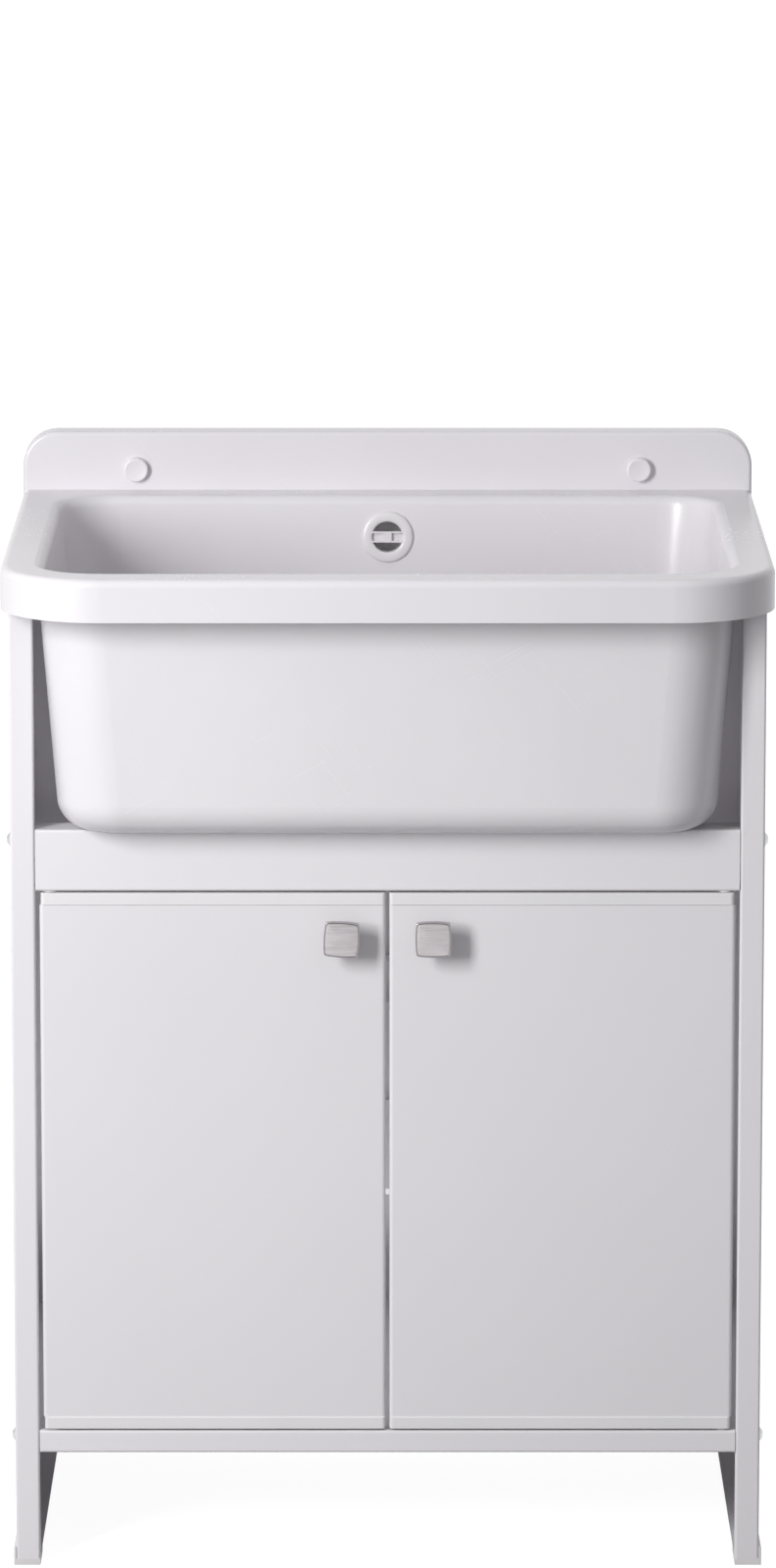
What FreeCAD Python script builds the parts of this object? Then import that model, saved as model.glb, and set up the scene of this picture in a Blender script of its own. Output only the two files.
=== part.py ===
import FreeCAD, Part
import math
import os
import re
import Sketcher
from FreeCAD import Placement, Rotation, Vector

# Sink cabinet: a moulded washtub on a folded sheet-steel cabinet with two hinged doors.
# Frame: millimetres, +Z up, the front faces -Y, the origin is on the floor under the middle.

# Driving sizes, one name each

SIZES = (
    ("unit_width", 600, "sink rim, left to right"),
    ("unit_depth", 500, "wall to the front of the rim"),
    ("unit_height", 850, "floor to the top of the splashback"),
    ("splash_rise", 48, "splashback above the rim"),

    ("tub_wall", 6, "moulded wall of the sink"),
    ("apron_height", 33, "band that hangs from the rim"),
    ("apron_wall", 5, "thickness of that band"),
    ("rim_corner_radius", 80, "front corners of the rim, seen from above"),
    ("rim_edge_radius", 6, "outer top edge of the rim"),
    ("lip_radius", 8, "edge where the rim turns down into the basin"),
    ("front_overhang", 34, "rim front to the tub's front wall"),
    ("side_overhang", 28, "rim side to the tub's side wall"),
    ("back_overhang", 54, "wall plane to the tub's back wall"),
    ("tub_drop", 202, "rim underside to the tub's bottom"),
    ("front_draft", 5, "how far the front wall leans in over its height"),
    ("side_draft", 16.5, "the same for a side wall"),
    ("back_draft", 16, "the same for the back wall"),
    ("tub_corner_radius", 50, "upright corners of the tub, outside"),
    ("tub_bottom_radius", 25, "edge round the tub's bottom, outside"),
    ("splash_depth", 25, "splashback, front to back"),
    ("splash_wall", 6, "its moulded wall"),
    ("splash_corner_radius", 28, "its top corners, seen from the front"),
    ("splash_edge_radius", 3, "its front edge"),

    ("cap_spacing", 414, "between the two fixing holes of the splashback"),
    ("cap_rise", 17, "those holes above the rim"),
    ("cap_radius", 10, "cover cap"),
    ("cap_height", 4, "cover cap, how far it stands out"),
    ("cap_edge", 1, "its bevel"),
    ("fixing_radius", 3.5, "fixing hole"),
    ("boss_radius", 9, "boss behind a fixing hole"),
    ("peg_length", 9, "peg of the cap"),

    ("drain_to_wall", 190, "drain in front of the wall plane"),
    ("drain_radius", 23, "hole in the tub's floor"),
    ("overflow_drop", 33.5, "overflow centre below the rim"),
    ("overflow_hole_radius", 15, "hole in the back wall"),
    ("rosette_radius", 21, "overflow ring, outside"),
    ("rosette_opening_radius", 12.5, "overflow ring, inside"),
    ("rosette_thickness", 3, "how far the ring stands out"),
    ("rosette_edge", 1.5, "its bevel"),
    ("rosette_bar_height", 9, "key bar across the opening"),
    ("rosette_bar_thickness", 1.6, "its web"),
    ("rosette_rib", 1.2, "ribs along the key bar"),
    ("rosette_rib_depth", 2.8, "those ribs, front to back"),
    ("rosette_post_width", 7, "post in the middle of the key bar"),
    ("neck_wall", 1.5, "wall of the ring's neck"),
    ("neck_length", 16, "neck through the wall into the elbow"),
    ("overflow_gasket_thickness", 2, "rubber ring behind the wall"),
    ("elbow_flange_radius", 20, "overflow elbow, flange"),
    ("elbow_flange_thickness", 2.5, "that flange"),
    ("elbow_body_radius", 17, "overflow elbow, body"),
    ("elbow_depth", 24, "overflow elbow, front to back"),
    ("elbow_wall", 2.5, "its wall"),
    ("elbow_reach", 42, "elbow centre to the end of its spigot"),
    ("spigot_radius", 9, "hose spigots"),
    ("spigot_wall", 2, "their wall"),
    ("hose_wall", 2, "overflow hose"),
    ("hose_grip", 15, "length of hose on each spigot"),
    ("hose_bend_share", 0.56, "part of the shorter run that the hose's bend takes up"),
    ("clamp_width", 7, "hose clamp"),
    ("clamp_thickness", 1.2, "its band"),

    ("strainer_radius", 35, "strainer in the basin floor"),
    ("strainer_thickness", 1.5, "its pressed steel"),
    ("strainer_neck_radius", 21, "dish of the strainer"),
    ("strainer_dish", 7, "depth of the dish"),
    ("strainer_slot_radius", 2.6, "drain holes of the strainer"),
    ("strainer_slot_circle", 12.5, "radius of their circle"),
    ("strainer_slot_count", 8, "number of drain holes"),
    ("upper_gasket_thickness", 1.2, "rubber ring above the floor"),
    ("lower_gasket_thickness", 3, "rubber ring below the floor"),
    ("waste_screw_radius", 3, "screw that draws the strainer down"),
    ("waste_screw_length", 30, "its shank"),
    ("waste_screw_head_radius", 6, "its head"),
    ("waste_screw_head_height", 2.5, "its head"),
    ("waste_flange_radius", 37, "waste body, flange"),
    ("waste_flange_thickness", 4, "waste body, flange"),
    ("waste_bowl_radius", 28, "waste body, bowl"),
    ("waste_bowl_depth", 40, "waste body, bowl"),
    ("waste_wall", 2.5, "waste body, wall"),
    ("tail_radius", 20, "waste tail pipe, outside"),
    ("tail_bore_radius", 16.5, "waste tail pipe, inside"),
    ("tail_share", 0.476, "part of the free height under the waste that its tail pipe takes up"),
    ("inlet_drop", 22, "overflow inlet below the waste flange"),
    ("inlet_reach", 50, "waste axis to the end of the inlet spigot"),
    ("bridge_width", 9, "bridge across the waste bowl"),
    ("bridge_height", 9, "that bridge"),
    ("bridge_drop", 15, "bridge below the waste flange"),

    ("trap_collar_radius", 24, "trap, inlet collar"),
    ("trap_collar_height", 22, "trap, inlet collar"),
    ("trap_radius", 32, "trap, vessel"),
    ("trap_height", 120, "collar top to the vessel's lower edge"),
    ("trap_shoulder", 8, "height of the vessel's sloping shoulder"),
    ("trap_wall", 2.5, "trap, wall"),
    ("dip_length", 142, "collar top to the end of the dip tube"),
    ("cup_height", 80, "trap cup"),
    ("cup_wall", 4, "trap cup, wall at the thread"),
    ("cup_cover", 10, "thread that the cup and the vessel share"),
    ("cup_bevel", 6, "bevel round the cup's bottom"),
    ("outlet_drop", 56, "outlet centre below the collar top"),
    ("outlet_radius", 20, "outlet spigot of the trap"),
    ("outlet_reach", 62, "trap axis to the end of the outlet spigot"),
    ("pipe_radius", 16, "waste pipe to the wall"),
    ("pipe_wall", 1.8, "waste pipe, wall"),
    ("pipe_grip", 20, "waste pipe inside the outlet spigot"),
    ("pipe_wall_gap", 2, "waste pipe short of the wall plane"),
    ("pipe_end_length", 48, "free end of the pipe, up to its stop bead"),
    ("pipe_bead_width", 3, "stop bead"),
    ("pipe_bead_height", 1.5, "stop bead"),
    ("nut_wall", 4.5, "coupling nuts, wall"),
    ("nut_cover", 14, "coupling nuts, threaded length"),
    ("nut_web", 4, "coupling nuts, end wall"),
    ("nut_seal", 3, "rubber seal inside a coupling nut"),
    ("pipe_fit", 0.15, "clearance between a pipe and its socket"),

    ("cabinet_width", 588, "over the side panels"),
    ("cabinet_set_back", 78, "rim front to the cabinet front"),
    ("cabinet_wall_gap", 4, "cabinet back to the wall plane"),
    ("sheet_steel", 1, "painted sheet"),
    ("stile_width", 19, "folded front of a side panel"),
    ("back_stile_width", 45, "folded back of a side panel, above the shelf"),
    ("back_stile_start", 20, "floor to where that back widens"),
    ("stile_return", 8, "lip folded back along the stile"),
    ("bend_radius", 2, "outside of a fold"),
    ("part_gap", 0.4, "between a member's end and the stile"),
    ("ear_gap", 1, "between a stile's lip and an ear"),
    ("ear_depth", 22, "fixing ears of rail and back rail"),
    ("ear_height", 24, "their tabs"),
    ("ear_landing", 13, "their plates, past the stile and onto the rail"),

    ("tub_rail_gap", 1, "tub's bottom to the top of the front rail"),
    ("rail_height", 48.5, "front rail"),
    ("rail_ledge", 32, "top of the front rail, front to back"),
    ("rail_lip", 8, "lip behind that ledge"),
    ("rail_flange", 38, "underside of the front rail"),
    ("back_rail_height", 90, "back rail"),
    ("back_rail_flange", 12, "folds of the back rail"),

    ("shelf_top", 110, "floor to the shelf"),
    ("shelf_flange", 18, "front of the shelf"),
    ("shelf_lip", 10, "fold under that front"),
    ("shelf_upstand", 112, "plate that the shelf's back is folded up into"),

    ("foot_height", 5, "sole of a foot"),
    ("foot_length", 40, "foot, front to back"),
    ("foot_guard", 2, "guard on the panel's outer face"),
    ("foot_guard_height", 15, "floor to the top of the guard"),
    ("foot_peg_radius", 3, "peg into the panel"),
    ("foot_peg_height", 9, "peg above the sole"),

    ("frame_screw_radius", 2, "cabinet screws"),
    ("frame_screw_length", 9, "their shank"),
    ("frame_head_radius", 5.5, "their head"),
    ("frame_head_height", 3.2, "their head"),
    ("frame_head_rim", 1, "straight edge of the head"),
    ("frame_nut_width", 7, "nut, across flats"),
    ("frame_nut_height", 3.2, "nut"),
    ("screw_clearance", 0.2, "radial clearance of screw holes"),
    ("rail_screw_drop", 11, "screw below the top of a rail"),
    ("shelf_screw_drop", 8, "screw below the shelf"),

    ("door_thickness", 16, "door leaf"),
    ("door_side_gap", 3.5, "stile to door"),
    ("door_centre_gap", 3, "door to door"),
    ("door_top_gap", 1.5, "rail to door"),
    ("door_bottom_gap", 1.5, "shelf to door"),
    ("door_edge_radius", 3, "rolled upright edges"),
    ("door_return", 10, "lips behind the door's upright edges"),
    ("end_cap_height", 10, "moulded end cap, the part that shows"),
    ("end_cap_proud", 0.8, "end cap in front of the leaf"),
    ("end_cap_inset", 1, "end cap short of the hinge edge"),
    ("end_cap_edge", 0.8, "rounding of the end cap"),
    ("end_cap_plug", 12, "end cap inside the leaf"),
    ("plug_clearance", 0.1, "round that plug"),
    ("pivot_inset", 8, "hinge axis from the door's edge and face"),
    ("pin_radius", 2.5, "hinge pin"),
    ("pin_seat", 15, "hinge pin inside the end cap"),
    ("pin_reach", 6.5, "hinge pin beyond the door"),
    ("pin_running_clearance", 0.05, "radial, pin in bush"),
    ("bush_radius", 4, "hinge bush, body"),
    ("bush_collar_radius", 6, "hinge bush, collar"),
    ("bush_collar_height", 1.2, "hinge bush, collar"),
    ("bush_height", 7, "hinge bush, all of it"),

    ("knob_width", 28, "square knob"),
    ("knob_thickness", 7, "its head"),
    ("knob_bulge", 1, "how far its sides and face swell"),
    ("knob_corner_radius", 2.5, "its corners"),
    ("knob_neck_radius", 6, "neck behind the head"),
    ("knob_neck_length", 15, "that neck"),
    ("knob_in_from_edge", 34.2, "knob centre to the door's free edge"),
    ("knob_down_from_top", 33.2, "knob centre to the door's top"),
    ("left_knob_turn", 3, "degrees that the left knob has turned"),
    ("knob_screw_radius", 2, "knob screw"),
    ("knob_screw_bite", 10, "its thread inside the knob"),
    ("knob_screw_head_radius", 4.5, "its head"),
    ("knob_screw_head_height", 2.4, "its head"),

    ("catch_width", 46, "magnetic catch"),
    ("catch_depth", 14, "magnetic catch, front to back"),
    ("catch_height", 14, "magnetic catch"),
    ("catch_from_middle", 10, "its near end to the cabinet's middle"),
    ("catch_gap", 0.3, "magnet to strike plate"),
    ("magnet_width", 26, "magnet in the catch"),
    ("magnet_depth", 5, "magnet in the catch"),
    ("magnet_height", 8, "magnet in the catch"),
    ("catch_screw_radius", 1.5, "catch screws"),
    ("catch_screw_spacing", 36, "between them"),
    ("catch_screw_length", 9, "their shank"),
    ("catch_head_radius", 3, "their head"),
    ("catch_head_height", 1.8, "their head"),
    ("strike_width", 38, "strike plate"),
    ("strike_height", 9, "strike plate"),
    ("strike_thickness", 1, "strike plate"),
    ("strike_rivet_radius", 1.5, "its rivets"),
    ("strike_rivet_length", 6, "its rivets"),
    ("strike_rivet_spacing", 28, "between them"),
    ("cut_overrun", 1, "how far a cut runs past a face"),
    ("edge_slack", 0.01, "how near to a place counts as on it"),
)

doc = FreeCAD.newDocument("sink_cabinet")
sheet = doc.addObject("Spreadsheet::Sheet", "Sizes")
for row, (alias, amount, meaning) in enumerate(SIZES, start=1):
    sheet.set("A%d" % row, meaning)
    sheet.set("B%d" % row, str(amount))
    sheet.setAlias("B%d" % row, alias)
doc.recompute()

NAMES = {alias for alias, amount, meaning in SIZES}


# Formulas: plain size names in text, such as "rim_height - tub_wall"

WORKED_OUT = {
    "rim_height": "(unit_height - splash_rise)",
    "rail_top": "(unit_height - splash_rise - tub_wall - tub_drop - tub_rail_gap)",
    "drain_set_back": "(unit_depth / 2 - drain_to_wall)",
    "tail_length": "(tail_share * (rim_height - tub_wall - tub_drop - lower_gasket_thickness - shelf_top"
                   " - waste_bowl_depth + trap_collar_height - trap_height + cup_cover - cup_height))",
}


def point_at(found):
    """A name of the table becomes its cell, a worked-out name its own formula."""
    word = found.group()
    if word in WORKED_OUT:
        return formula(WORKED_OUT[word])
    return "Sizes." + word if word in NAMES else word


def formula(text):
    """Point every size name in the text at its cell."""
    return re.sub(r"[a-z_]+", point_at, text)


def number(text):
    """Work a formula out, in millimetres or degrees."""
    answer = sheet.evalExpression(formula(text))
    return float(getattr(answer, "Value", answer))


def bind(thing, **formulas):
    """Tie properties to formulas."""
    for name, text in formulas.items():
        thing.setExpression(name, formula(text))


def put(thing, x="0", y="0", z="0"):
    """Tie an object's place to three formulas."""
    for letter, text in (("x", x), ("y", y), ("z", z)):
        thing.setExpression("Placement.Base." + letter, formula(text))
    return thing


def turn(thing, axis, angle):
    """Turn an object about an axis through its own origin by a formula in degrees."""
    thing.Placement.Rotation = Rotation(axis, number(angle))
    thing.setExpression("Placement.Rotation.Angle", formula(angle))
    return thing


# Places that several pieces share

FRONT = "(-unit_depth / 2)"
BACK = "(unit_depth / 2)"
RIM_UNDER = "(rim_height - tub_wall)"
TUB_BOTTOM = "(rim_height - tub_wall - tub_drop)"
BASIN_FLOOR = "(rim_height - tub_drop)"
SPLASH_FACE = "(unit_depth / 2 - splash_depth)"
CABINET_FRONT = "(cabinet_set_back - unit_depth / 2)"
CABINET_BACK = "(unit_depth / 2 - cabinet_wall_gap)"
PANEL_OUT = "(cabinet_width / 2)"
SHEET_IN = "(cabinet_width / 2 - sheet_steel)"
MEMBER_END = "(cabinet_width / 2 - stile_width - part_gap)"
BACK_MEMBER_END = "(cabinet_width / 2 - back_stile_width - part_gap)"
EAR_FRONT = "(cabinet_set_back - unit_depth / 2 + stile_return + ear_gap)"
EAR_BACK = "(unit_depth / 2 - cabinet_wall_gap - stile_return - ear_gap)"
RAIL_BOTTOM = "(rail_top - rail_height)"
DOOR_TOP = "(rail_top - rail_height - door_top_gap)"
DOOR_BOTTOM = "(shelf_top + door_bottom_gap)"
DOOR_OUT = "(cabinet_width / 2 - stile_width - door_side_gap)"
DOOR_IN = "(door_centre_gap / 2)"
DOOR_BACK = "(cabinet_set_back - unit_depth / 2 + door_thickness)"
PIVOT_X = "(cabinet_width / 2 - stile_width - door_side_gap - pivot_inset)"
PIVOT_Y = "(cabinet_set_back - unit_depth / 2 + pivot_inset)"
KNOB_X = "(door_centre_gap / 2 + knob_in_from_edge)"
KNOB_Z = "(rail_top - rail_height - door_top_gap - knob_down_from_top)"
CATCH_X = "(catch_from_middle + catch_width / 2)"
STRIKE_BACK = "(cabinet_set_back - unit_depth / 2 + door_thickness + strike_thickness)"
STRIKE_Z = "(rail_top - rail_height - door_top_gap - end_cap_height / 2)"
STRAINER_SEAT = "(rim_height - tub_drop + upper_gasket_thickness)"
WASTE_TOP = "(rim_height - tub_wall - tub_drop - lower_gasket_thickness)"
TRAP_TOP = ("(rim_height - tub_wall - tub_drop - lower_gasket_thickness - waste_bowl_depth"
            " - tail_length + trap_collar_height - pipe_fit)")
FRAME_SCREW_Y = ("(cabinet_set_back - unit_depth / 2 + stile_return + ear_gap + ear_depth / 2)",
                 "(unit_depth / 2 - cabinet_wall_gap - stile_return - ear_gap - ear_depth / 2)")
RAIL_SCREW_Z = "(rail_top - rail_screw_drop)"
BACK_EAR_TOP = "(rail_top - back_rail_height + sheet_steel)"
BACK_SCREW_Z = "(rail_top - back_rail_height + sheet_steel - rail_screw_drop)"
SHELF_SCREW_Z = "(shelf_top - shelf_screw_drop)"
FRAME_SCREWS = [(FRAME_SCREW_Y[0], RAIL_SCREW_Z), (FRAME_SCREW_Y[0], SHELF_SCREW_Z),
                (FRAME_SCREW_Y[1], BACK_SCREW_Z), (FRAME_SCREW_Y[1], SHELF_SCREW_Z)]

PLANES = {"plan": ("XY_Plane", 1), "front": ("XZ_Plane", -1), "side": ("YZ_Plane", 1)}
UP_RIGHT_BACK = 1
DOWN_LEFT_FRONT = -1
X_AXIS = Vector(1, 0, 0)
Y_AXIS = Vector(0, 1, 0)
Z_AXIS = Vector(0, 0, 1)


# Sketches and features

def new_body(label):
    made = doc.addObject("PartDesign::Body", label)
    made.Label = label
    return made


def new_sketch(body, name, plane, at):
    """An empty sketch on one of the body's own planes, moved along its normal to the place at."""
    role, sign = PLANES[plane]
    sketch = body.newObject("Sketcher::SketchObject", name)
    support = [plane_object for plane_object in body.Origin.OriginFeatures if plane_object.Role == role][0]
    sketch.AttachmentSupport = [(support, "")]
    sketch.MapMode = "FlatFace"
    sketch.setExpression("AttachmentOffset.Base.z", formula(at if sign > 0 else "-" + at))
    return sketch


def pin_down(sketch, geometry, position, x, y):
    """Hold one point of a sketch at two formulas."""
    for kind, text in (("DistanceX", x), ("DistanceY", y)):
        index = sketch.addConstraint(Sketcher.Constraint(kind, -1, 1, geometry, position, number(text)))
        sketch.setExpression("Constraints[%d]" % index, formula(text))


def outline(body, name, plane, loops, at="0"):
    """Closed outlines with straight sides, their corners given by formulas."""
    sketch = new_sketch(body, name, plane, at)
    for corners in loops:
        points = [Vector(number(x), number(y), 0) for x, y in corners]
        first = sketch.GeometryCount
        count = len(points)
        for step in range(count):
            sketch.addGeometry(Part.LineSegment(points[step], points[(step + 1) % count]), False)
        for step in range(count):
            following = first + (step + 1) % count
            sketch.addConstraint(Sketcher.Constraint("Coincident", first + step, 2, following, 1))
        for step, (x, y) in enumerate(corners):
            pin_down(sketch, first + step, 1, x, y)
    return sketch


def circles(body, name, plane, centres, radius, at="0"):
    """Circles of one radius, their centres given by formulas."""
    sketch = new_sketch(body, name, plane, at)
    for x, y in centres:
        middle = Vector(number(x), number(y), 0)
        index = sketch.addGeometry(Part.Circle(middle, Z_AXIS, number(radius)), False)
        pin_down(sketch, index, 3, x, y)
        held = sketch.addConstraint(Sketcher.Constraint("Radius", index, number(radius)))
        sketch.setExpression("Constraints[%d]" % held, formula(radius))
    return sketch


def rectangle(x_low, y_low, x_high, y_high):
    return [(x_low, y_low), (x_high, y_low), (x_high, y_high), (x_low, y_high)]


def both_sides(corners):
    """A loop and its mirror image across the middle."""
    return [corners, [("-(" + x + ")", y) for x, y in reversed(corners)]]


def plane_sign(sketch):
    role = sketch.AttachmentSupport[0][0].Role
    return {named: sign for named, sign in PLANES.values()}[role]


def pad(body, name, sketch, length, towards=UP_RIGHT_BACK, midplane=False):
    feature = body.newObject("PartDesign::Pad", name)
    feature.Profile = sketch
    feature.Midplane = midplane
    feature.Reversed = towards * plane_sign(sketch) < 0
    bind(feature, Length=length)
    doc.recompute()
    return feature


def pocket(body, name, sketch, length, towards=UP_RIGHT_BACK, midplane=False):
    """Cut along an axis, and make sure that the cut took something away."""
    before = body.Shape.Volume
    feature = body.newObject("PartDesign::Pocket", name)
    feature.Profile = sketch
    feature.Midplane = midplane
    feature.Reversed = towards * plane_sign(sketch) > 0
    bind(feature, Length=length)
    doc.recompute()
    if not body.Shape.Volume < before:
        raise RuntimeError(name + " cut nothing")
    return feature


def loft(body, name, kind, upper, lower):
    feature = body.newObject("PartDesign::" + kind, name)
    feature.Profile = upper
    feature.Sections = [lower]
    feature.Ruled = True
    doc.recompute()
    return feature


def edges(shape, test):
    """Names of the edges of a shape that pass a test."""
    return ["Edge%d" % (place + 1) for place, edge in enumerate(shape.Edges) if test(edge)]


def ends_at(edge, axis, text):
    """True if both ends of an edge lie at a formula along an axis."""
    level = number(text)
    slack = number("edge_slack")
    return all(abs(getattr(vertex.Point, axis) - level) < slack for vertex in edge.Vertexes)


def runs_along(edge, axis):
    """True if an edge is a straight line along an axis."""
    if edge.Curve.TypeId != "Part::GeomLine":
        return False
    others = {"x", "y", "z"} - {axis}
    box = edge.BoundBox
    slack = number("edge_slack")
    return all(getattr(box, other.upper() + "Length") < slack for other in others)


def fillet(body, name, chosen, radius):
    base = body.Tip
    feature = body.newObject("PartDesign::Fillet", name)
    feature.Base = (base, chosen)
    bind(feature, Radius=radius)
    doc.recompute()
    return feature


def round_off(body, name, test, radius):
    """Round the edges of the body so far that pass a test."""
    chosen = edges(body.Shape, test)
    if not chosen:
        raise RuntimeError(name + " found no edge")
    return fillet(body, name, chosen, radius)


def turned(label, profile):
    """A piece of revolution about Z, from corners of (radius, height)."""
    body = new_body(label)
    sketch = outline(body, label + "_profile", "front", [profile])
    feature = body.newObject("PartDesign::Revolution", label + "_turned")
    feature.Profile = sketch
    feature.ReferenceAxis = (sketch, ["V_Axis"])
    doc.recompute()
    return body


def mirrored(source, label):
    """The right-hand twin of a left-hand piece."""
    twin = doc.addObject("Part::Mirroring", label)
    twin.Label = label
    twin.Source = source
    twin.Normal = X_AXIS
    doc.recompute()
    return twin


def cylinder(name, radius, height, axis=Z_AXIS):
    """A round bar from the origin along an axis."""
    made = doc.addObject("Part::Cylinder", name)
    bind(made, Radius=radius, Height=height)
    made.Placement.Rotation = Rotation(Z_AXIS, axis)
    return made


def box(name, length, width, height):
    made = doc.addObject("Part::Box", name)
    bind(made, Length=length, Width=width, Height=height)
    return made


def fused(label, pieces):
    made = doc.addObject("Part::MultiFuse", label)
    made.Label = label
    made.Shapes = pieces
    doc.recompute()
    return made


def cut(label, base, tool):
    made = doc.addObject("Part::Cut", label)
    made.Label = label
    made.Base = base
    made.Tool = tool
    doc.recompute()
    return made


def group(label, shapes):
    """Separate solids that share one node."""
    made = doc.addObject("Part::Feature", label)
    made.Label = label
    made.Shape = Part.makeCompound(shapes)
    return made


def moved(source, places):
    """Copies of a piece's shape, one at each placement."""
    copies = []
    for place in places:
        copy = source.Shape.copy()
        copy.Placement = place.multiply(copy.Placement)
        copies.append(copy)
    return copies


nodes = []


def keep(piece):
    """List a piece among those that are written out."""
    nodes.append(piece)
    return piece


# Sink

def tub_rectangle(depth_below, wall):
    """Plan of the tub, as deep below the rim's underside as the formula says, its wall taken off."""
    share = "(" + depth_below + ") / tub_drop"
    half = "(unit_width / 2 - side_overhang - side_draft * %s - %s)" % (share, wall)
    front = "(%s + front_overhang + front_draft * %s + %s)" % (FRONT, share, wall)
    back = "(%s - back_overhang - back_draft * %s - %s)" % (BACK, share, wall)
    return rectangle("-" + half, front, half, back)


def make_sink_tub():
    tub = new_body("sink_tub")
    half = "(unit_width / 2)"
    block = outline(tub, "rim_plan", "plan", [rectangle("-" + half, FRONT, half, BACK)],
                    "(rim_height - apron_height)")
    pad(tub, "rim_block", block, "apron_height")
    inner = "(unit_width / 2 - apron_wall)"
    inner_front = "(" + FRONT + " + apron_wall)"
    hollow = outline(tub, "apron_plan", "plan",
                     [rectangle("-" + inner, inner_front, inner, "(" + BACK + " + cut_overrun)")],
                     "(rim_height - apron_height)")
    pocket(tub, "apron_hollow", hollow, "apron_height - tub_wall")
    round_off(tub, "apron_corners", lambda e: runs_along(e, "z") and ends_at(e, "y", inner_front),
              "rim_corner_radius - apron_wall")
    round_off(tub, "rim_corners", lambda e: runs_along(e, "z") and ends_at(e, "y", FRONT),
              "rim_corner_radius")
    round_off(tub, "rim_edge", lambda e: ends_at(e, "z", "rim_height") and not ends_at(e, "y", BACK),
              "rim_edge_radius")

    outer_top = outline(tub, "tub_top_plan", "plan", [tub_rectangle("0", "0")], RIM_UNDER)
    outer_low = outline(tub, "tub_bottom_plan", "plan", [tub_rectangle("tub_drop", "0")], TUB_BOTTOM)
    loft(tub, "tub_outside", "AdditiveLoft", outer_top, outer_low)
    inner_top = outline(tub, "basin_top_plan", "plan", [tub_rectangle("-tub_wall", "tub_wall")],
                        "rim_height")
    inner_low = outline(tub, "basin_floor_plan", "plan", [tub_rectangle("tub_drop - tub_wall", "tub_wall")],
                        BASIN_FLOOR)
    loft(tub, "basin", "SubtractiveLoft", inner_top, inner_low)
    upright = lambda e: e.BoundBox.ZLength > number("tub_drop / 2")
    outside = lambda e: upright(e) and e.BoundBox.ZMin < number(TUB_BOTTOM + " + tub_wall / 2")
    round_off(tub, "tub_corners", outside, "tub_corner_radius")
    inside = lambda e: upright(e) and e.BoundBox.ZMax > number("rim_height - tub_wall / 2")
    round_off(tub, "basin_corners", inside, "tub_corner_radius - tub_wall")
    round_off(tub, "tub_bottom_edge", lambda e: ends_at(e, "z", TUB_BOTTOM), "tub_bottom_radius")
    round_off(tub, "basin_bottom_edge", lambda e: ends_at(e, "z", BASIN_FLOOR),
              "tub_bottom_radius - tub_wall")

    splash = outline(tub, "splash_front", "front",
                     [rectangle("-" + half, "(rim_height - rim_edge_radius)", half, "unit_height")], BACK)
    pad(tub, "splash_block", splash, "splash_depth", DOWN_LEFT_FRONT)
    side = "(unit_width / 2 - splash_wall)"
    recess = outline(tub, "splash_recess", "front",
                     [rectangle("-" + side, "rim_height", side, "(unit_height - splash_wall)")], BACK)
    pocket(tub, "splash_hollow", recess, "splash_depth - splash_wall", DOWN_LEFT_FRONT)
    round_off(tub, "splash_hollow_corners",
              lambda e: runs_along(e, "y") and ends_at(e, "z", "unit_height - splash_wall"),
              "splash_corner_radius - splash_wall")
    round_off(tub, "splash_corners", lambda e: runs_along(e, "y") and ends_at(e, "z", "unit_height"),
              "splash_corner_radius")
    fixings = [("-cap_spacing / 2", "rim_height + cap_rise"), ("cap_spacing / 2", "rim_height + cap_rise")]
    bosses = circles(tub, "boss_circles", "front", fixings, "boss_radius", BACK)
    pad(tub, "bosses", bosses, "splash_depth - splash_wall", DOWN_LEFT_FRONT)
    holes = circles(tub, "fixing_circles", "front", fixings, "fixing_radius", "(" + BACK + " + cut_overrun)")
    pocket(tub, "fixing_holes", holes, "splash_depth + 2 * cut_overrun", DOWN_LEFT_FRONT)

    splash_outline = lambda e: ends_at(e, "y", SPLASH_FACE) and len(e.Vertexes) == 2 \
        and e.BoundBox.ZMax > number("rim_height + splash_edge_radius")
    round_off(tub, "splash_front_edge", splash_outline, "splash_edge_radius")

    basin_edge = lambda e: ends_at(e, "z", "rim_height") and not ends_at(e, "y", SPLASH_FACE) \
        and e.BoundBox.XMax < number("unit_width / 2 - side_overhang / 2") \
        and e.BoundBox.XMin > number("side_overhang / 2 - unit_width / 2") \
        and e.BoundBox.YMin > number("front_overhang / 2 - unit_depth / 2")
    round_off(tub, "basin_lip", basin_edge, "lip_radius")

    drain = circles(tub, "drain_circle", "plan", [("0", "drain_set_back")], "drain_radius",
                    "(" + TUB_BOTTOM + " - cut_overrun)")
    pocket(tub, "drain_hole", drain, "tub_wall + 2 * cut_overrun")
    overflow = circles(tub, "overflow_circle", "front", [("0", "rim_height - overflow_drop")],
                       "overflow_hole_radius", BACK)
    pocket(tub, "overflow_hole", overflow, "back_overhang + back_draft + 2 * tub_wall", DOWN_LEFT_FRONT)
    return keep(tub)


def make_screw_caps():
    cap = turned("screw_cap", [
        ("0", "0"), ("fixing_radius - screw_clearance", "0"),
        ("fixing_radius - screw_clearance", "peg_length"),
        ("cap_radius", "peg_length"), ("cap_radius", "peg_length + cap_height - cap_edge"),
        ("cap_radius - cap_edge", "peg_length + cap_height"), ("0", "peg_length + cap_height")])
    depth = number(SPLASH_FACE + " + peg_length")
    height = number("rim_height + cap_rise")
    spots = [Placement(Vector(side * number("cap_spacing / 2"), depth, height), Rotation(X_AXIS, 90))
             for side in (-1, 1)]
    return keep(group("screw_caps", moved(cap, spots)))


# Overflow: pieces in line with the leaning back wall

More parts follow.
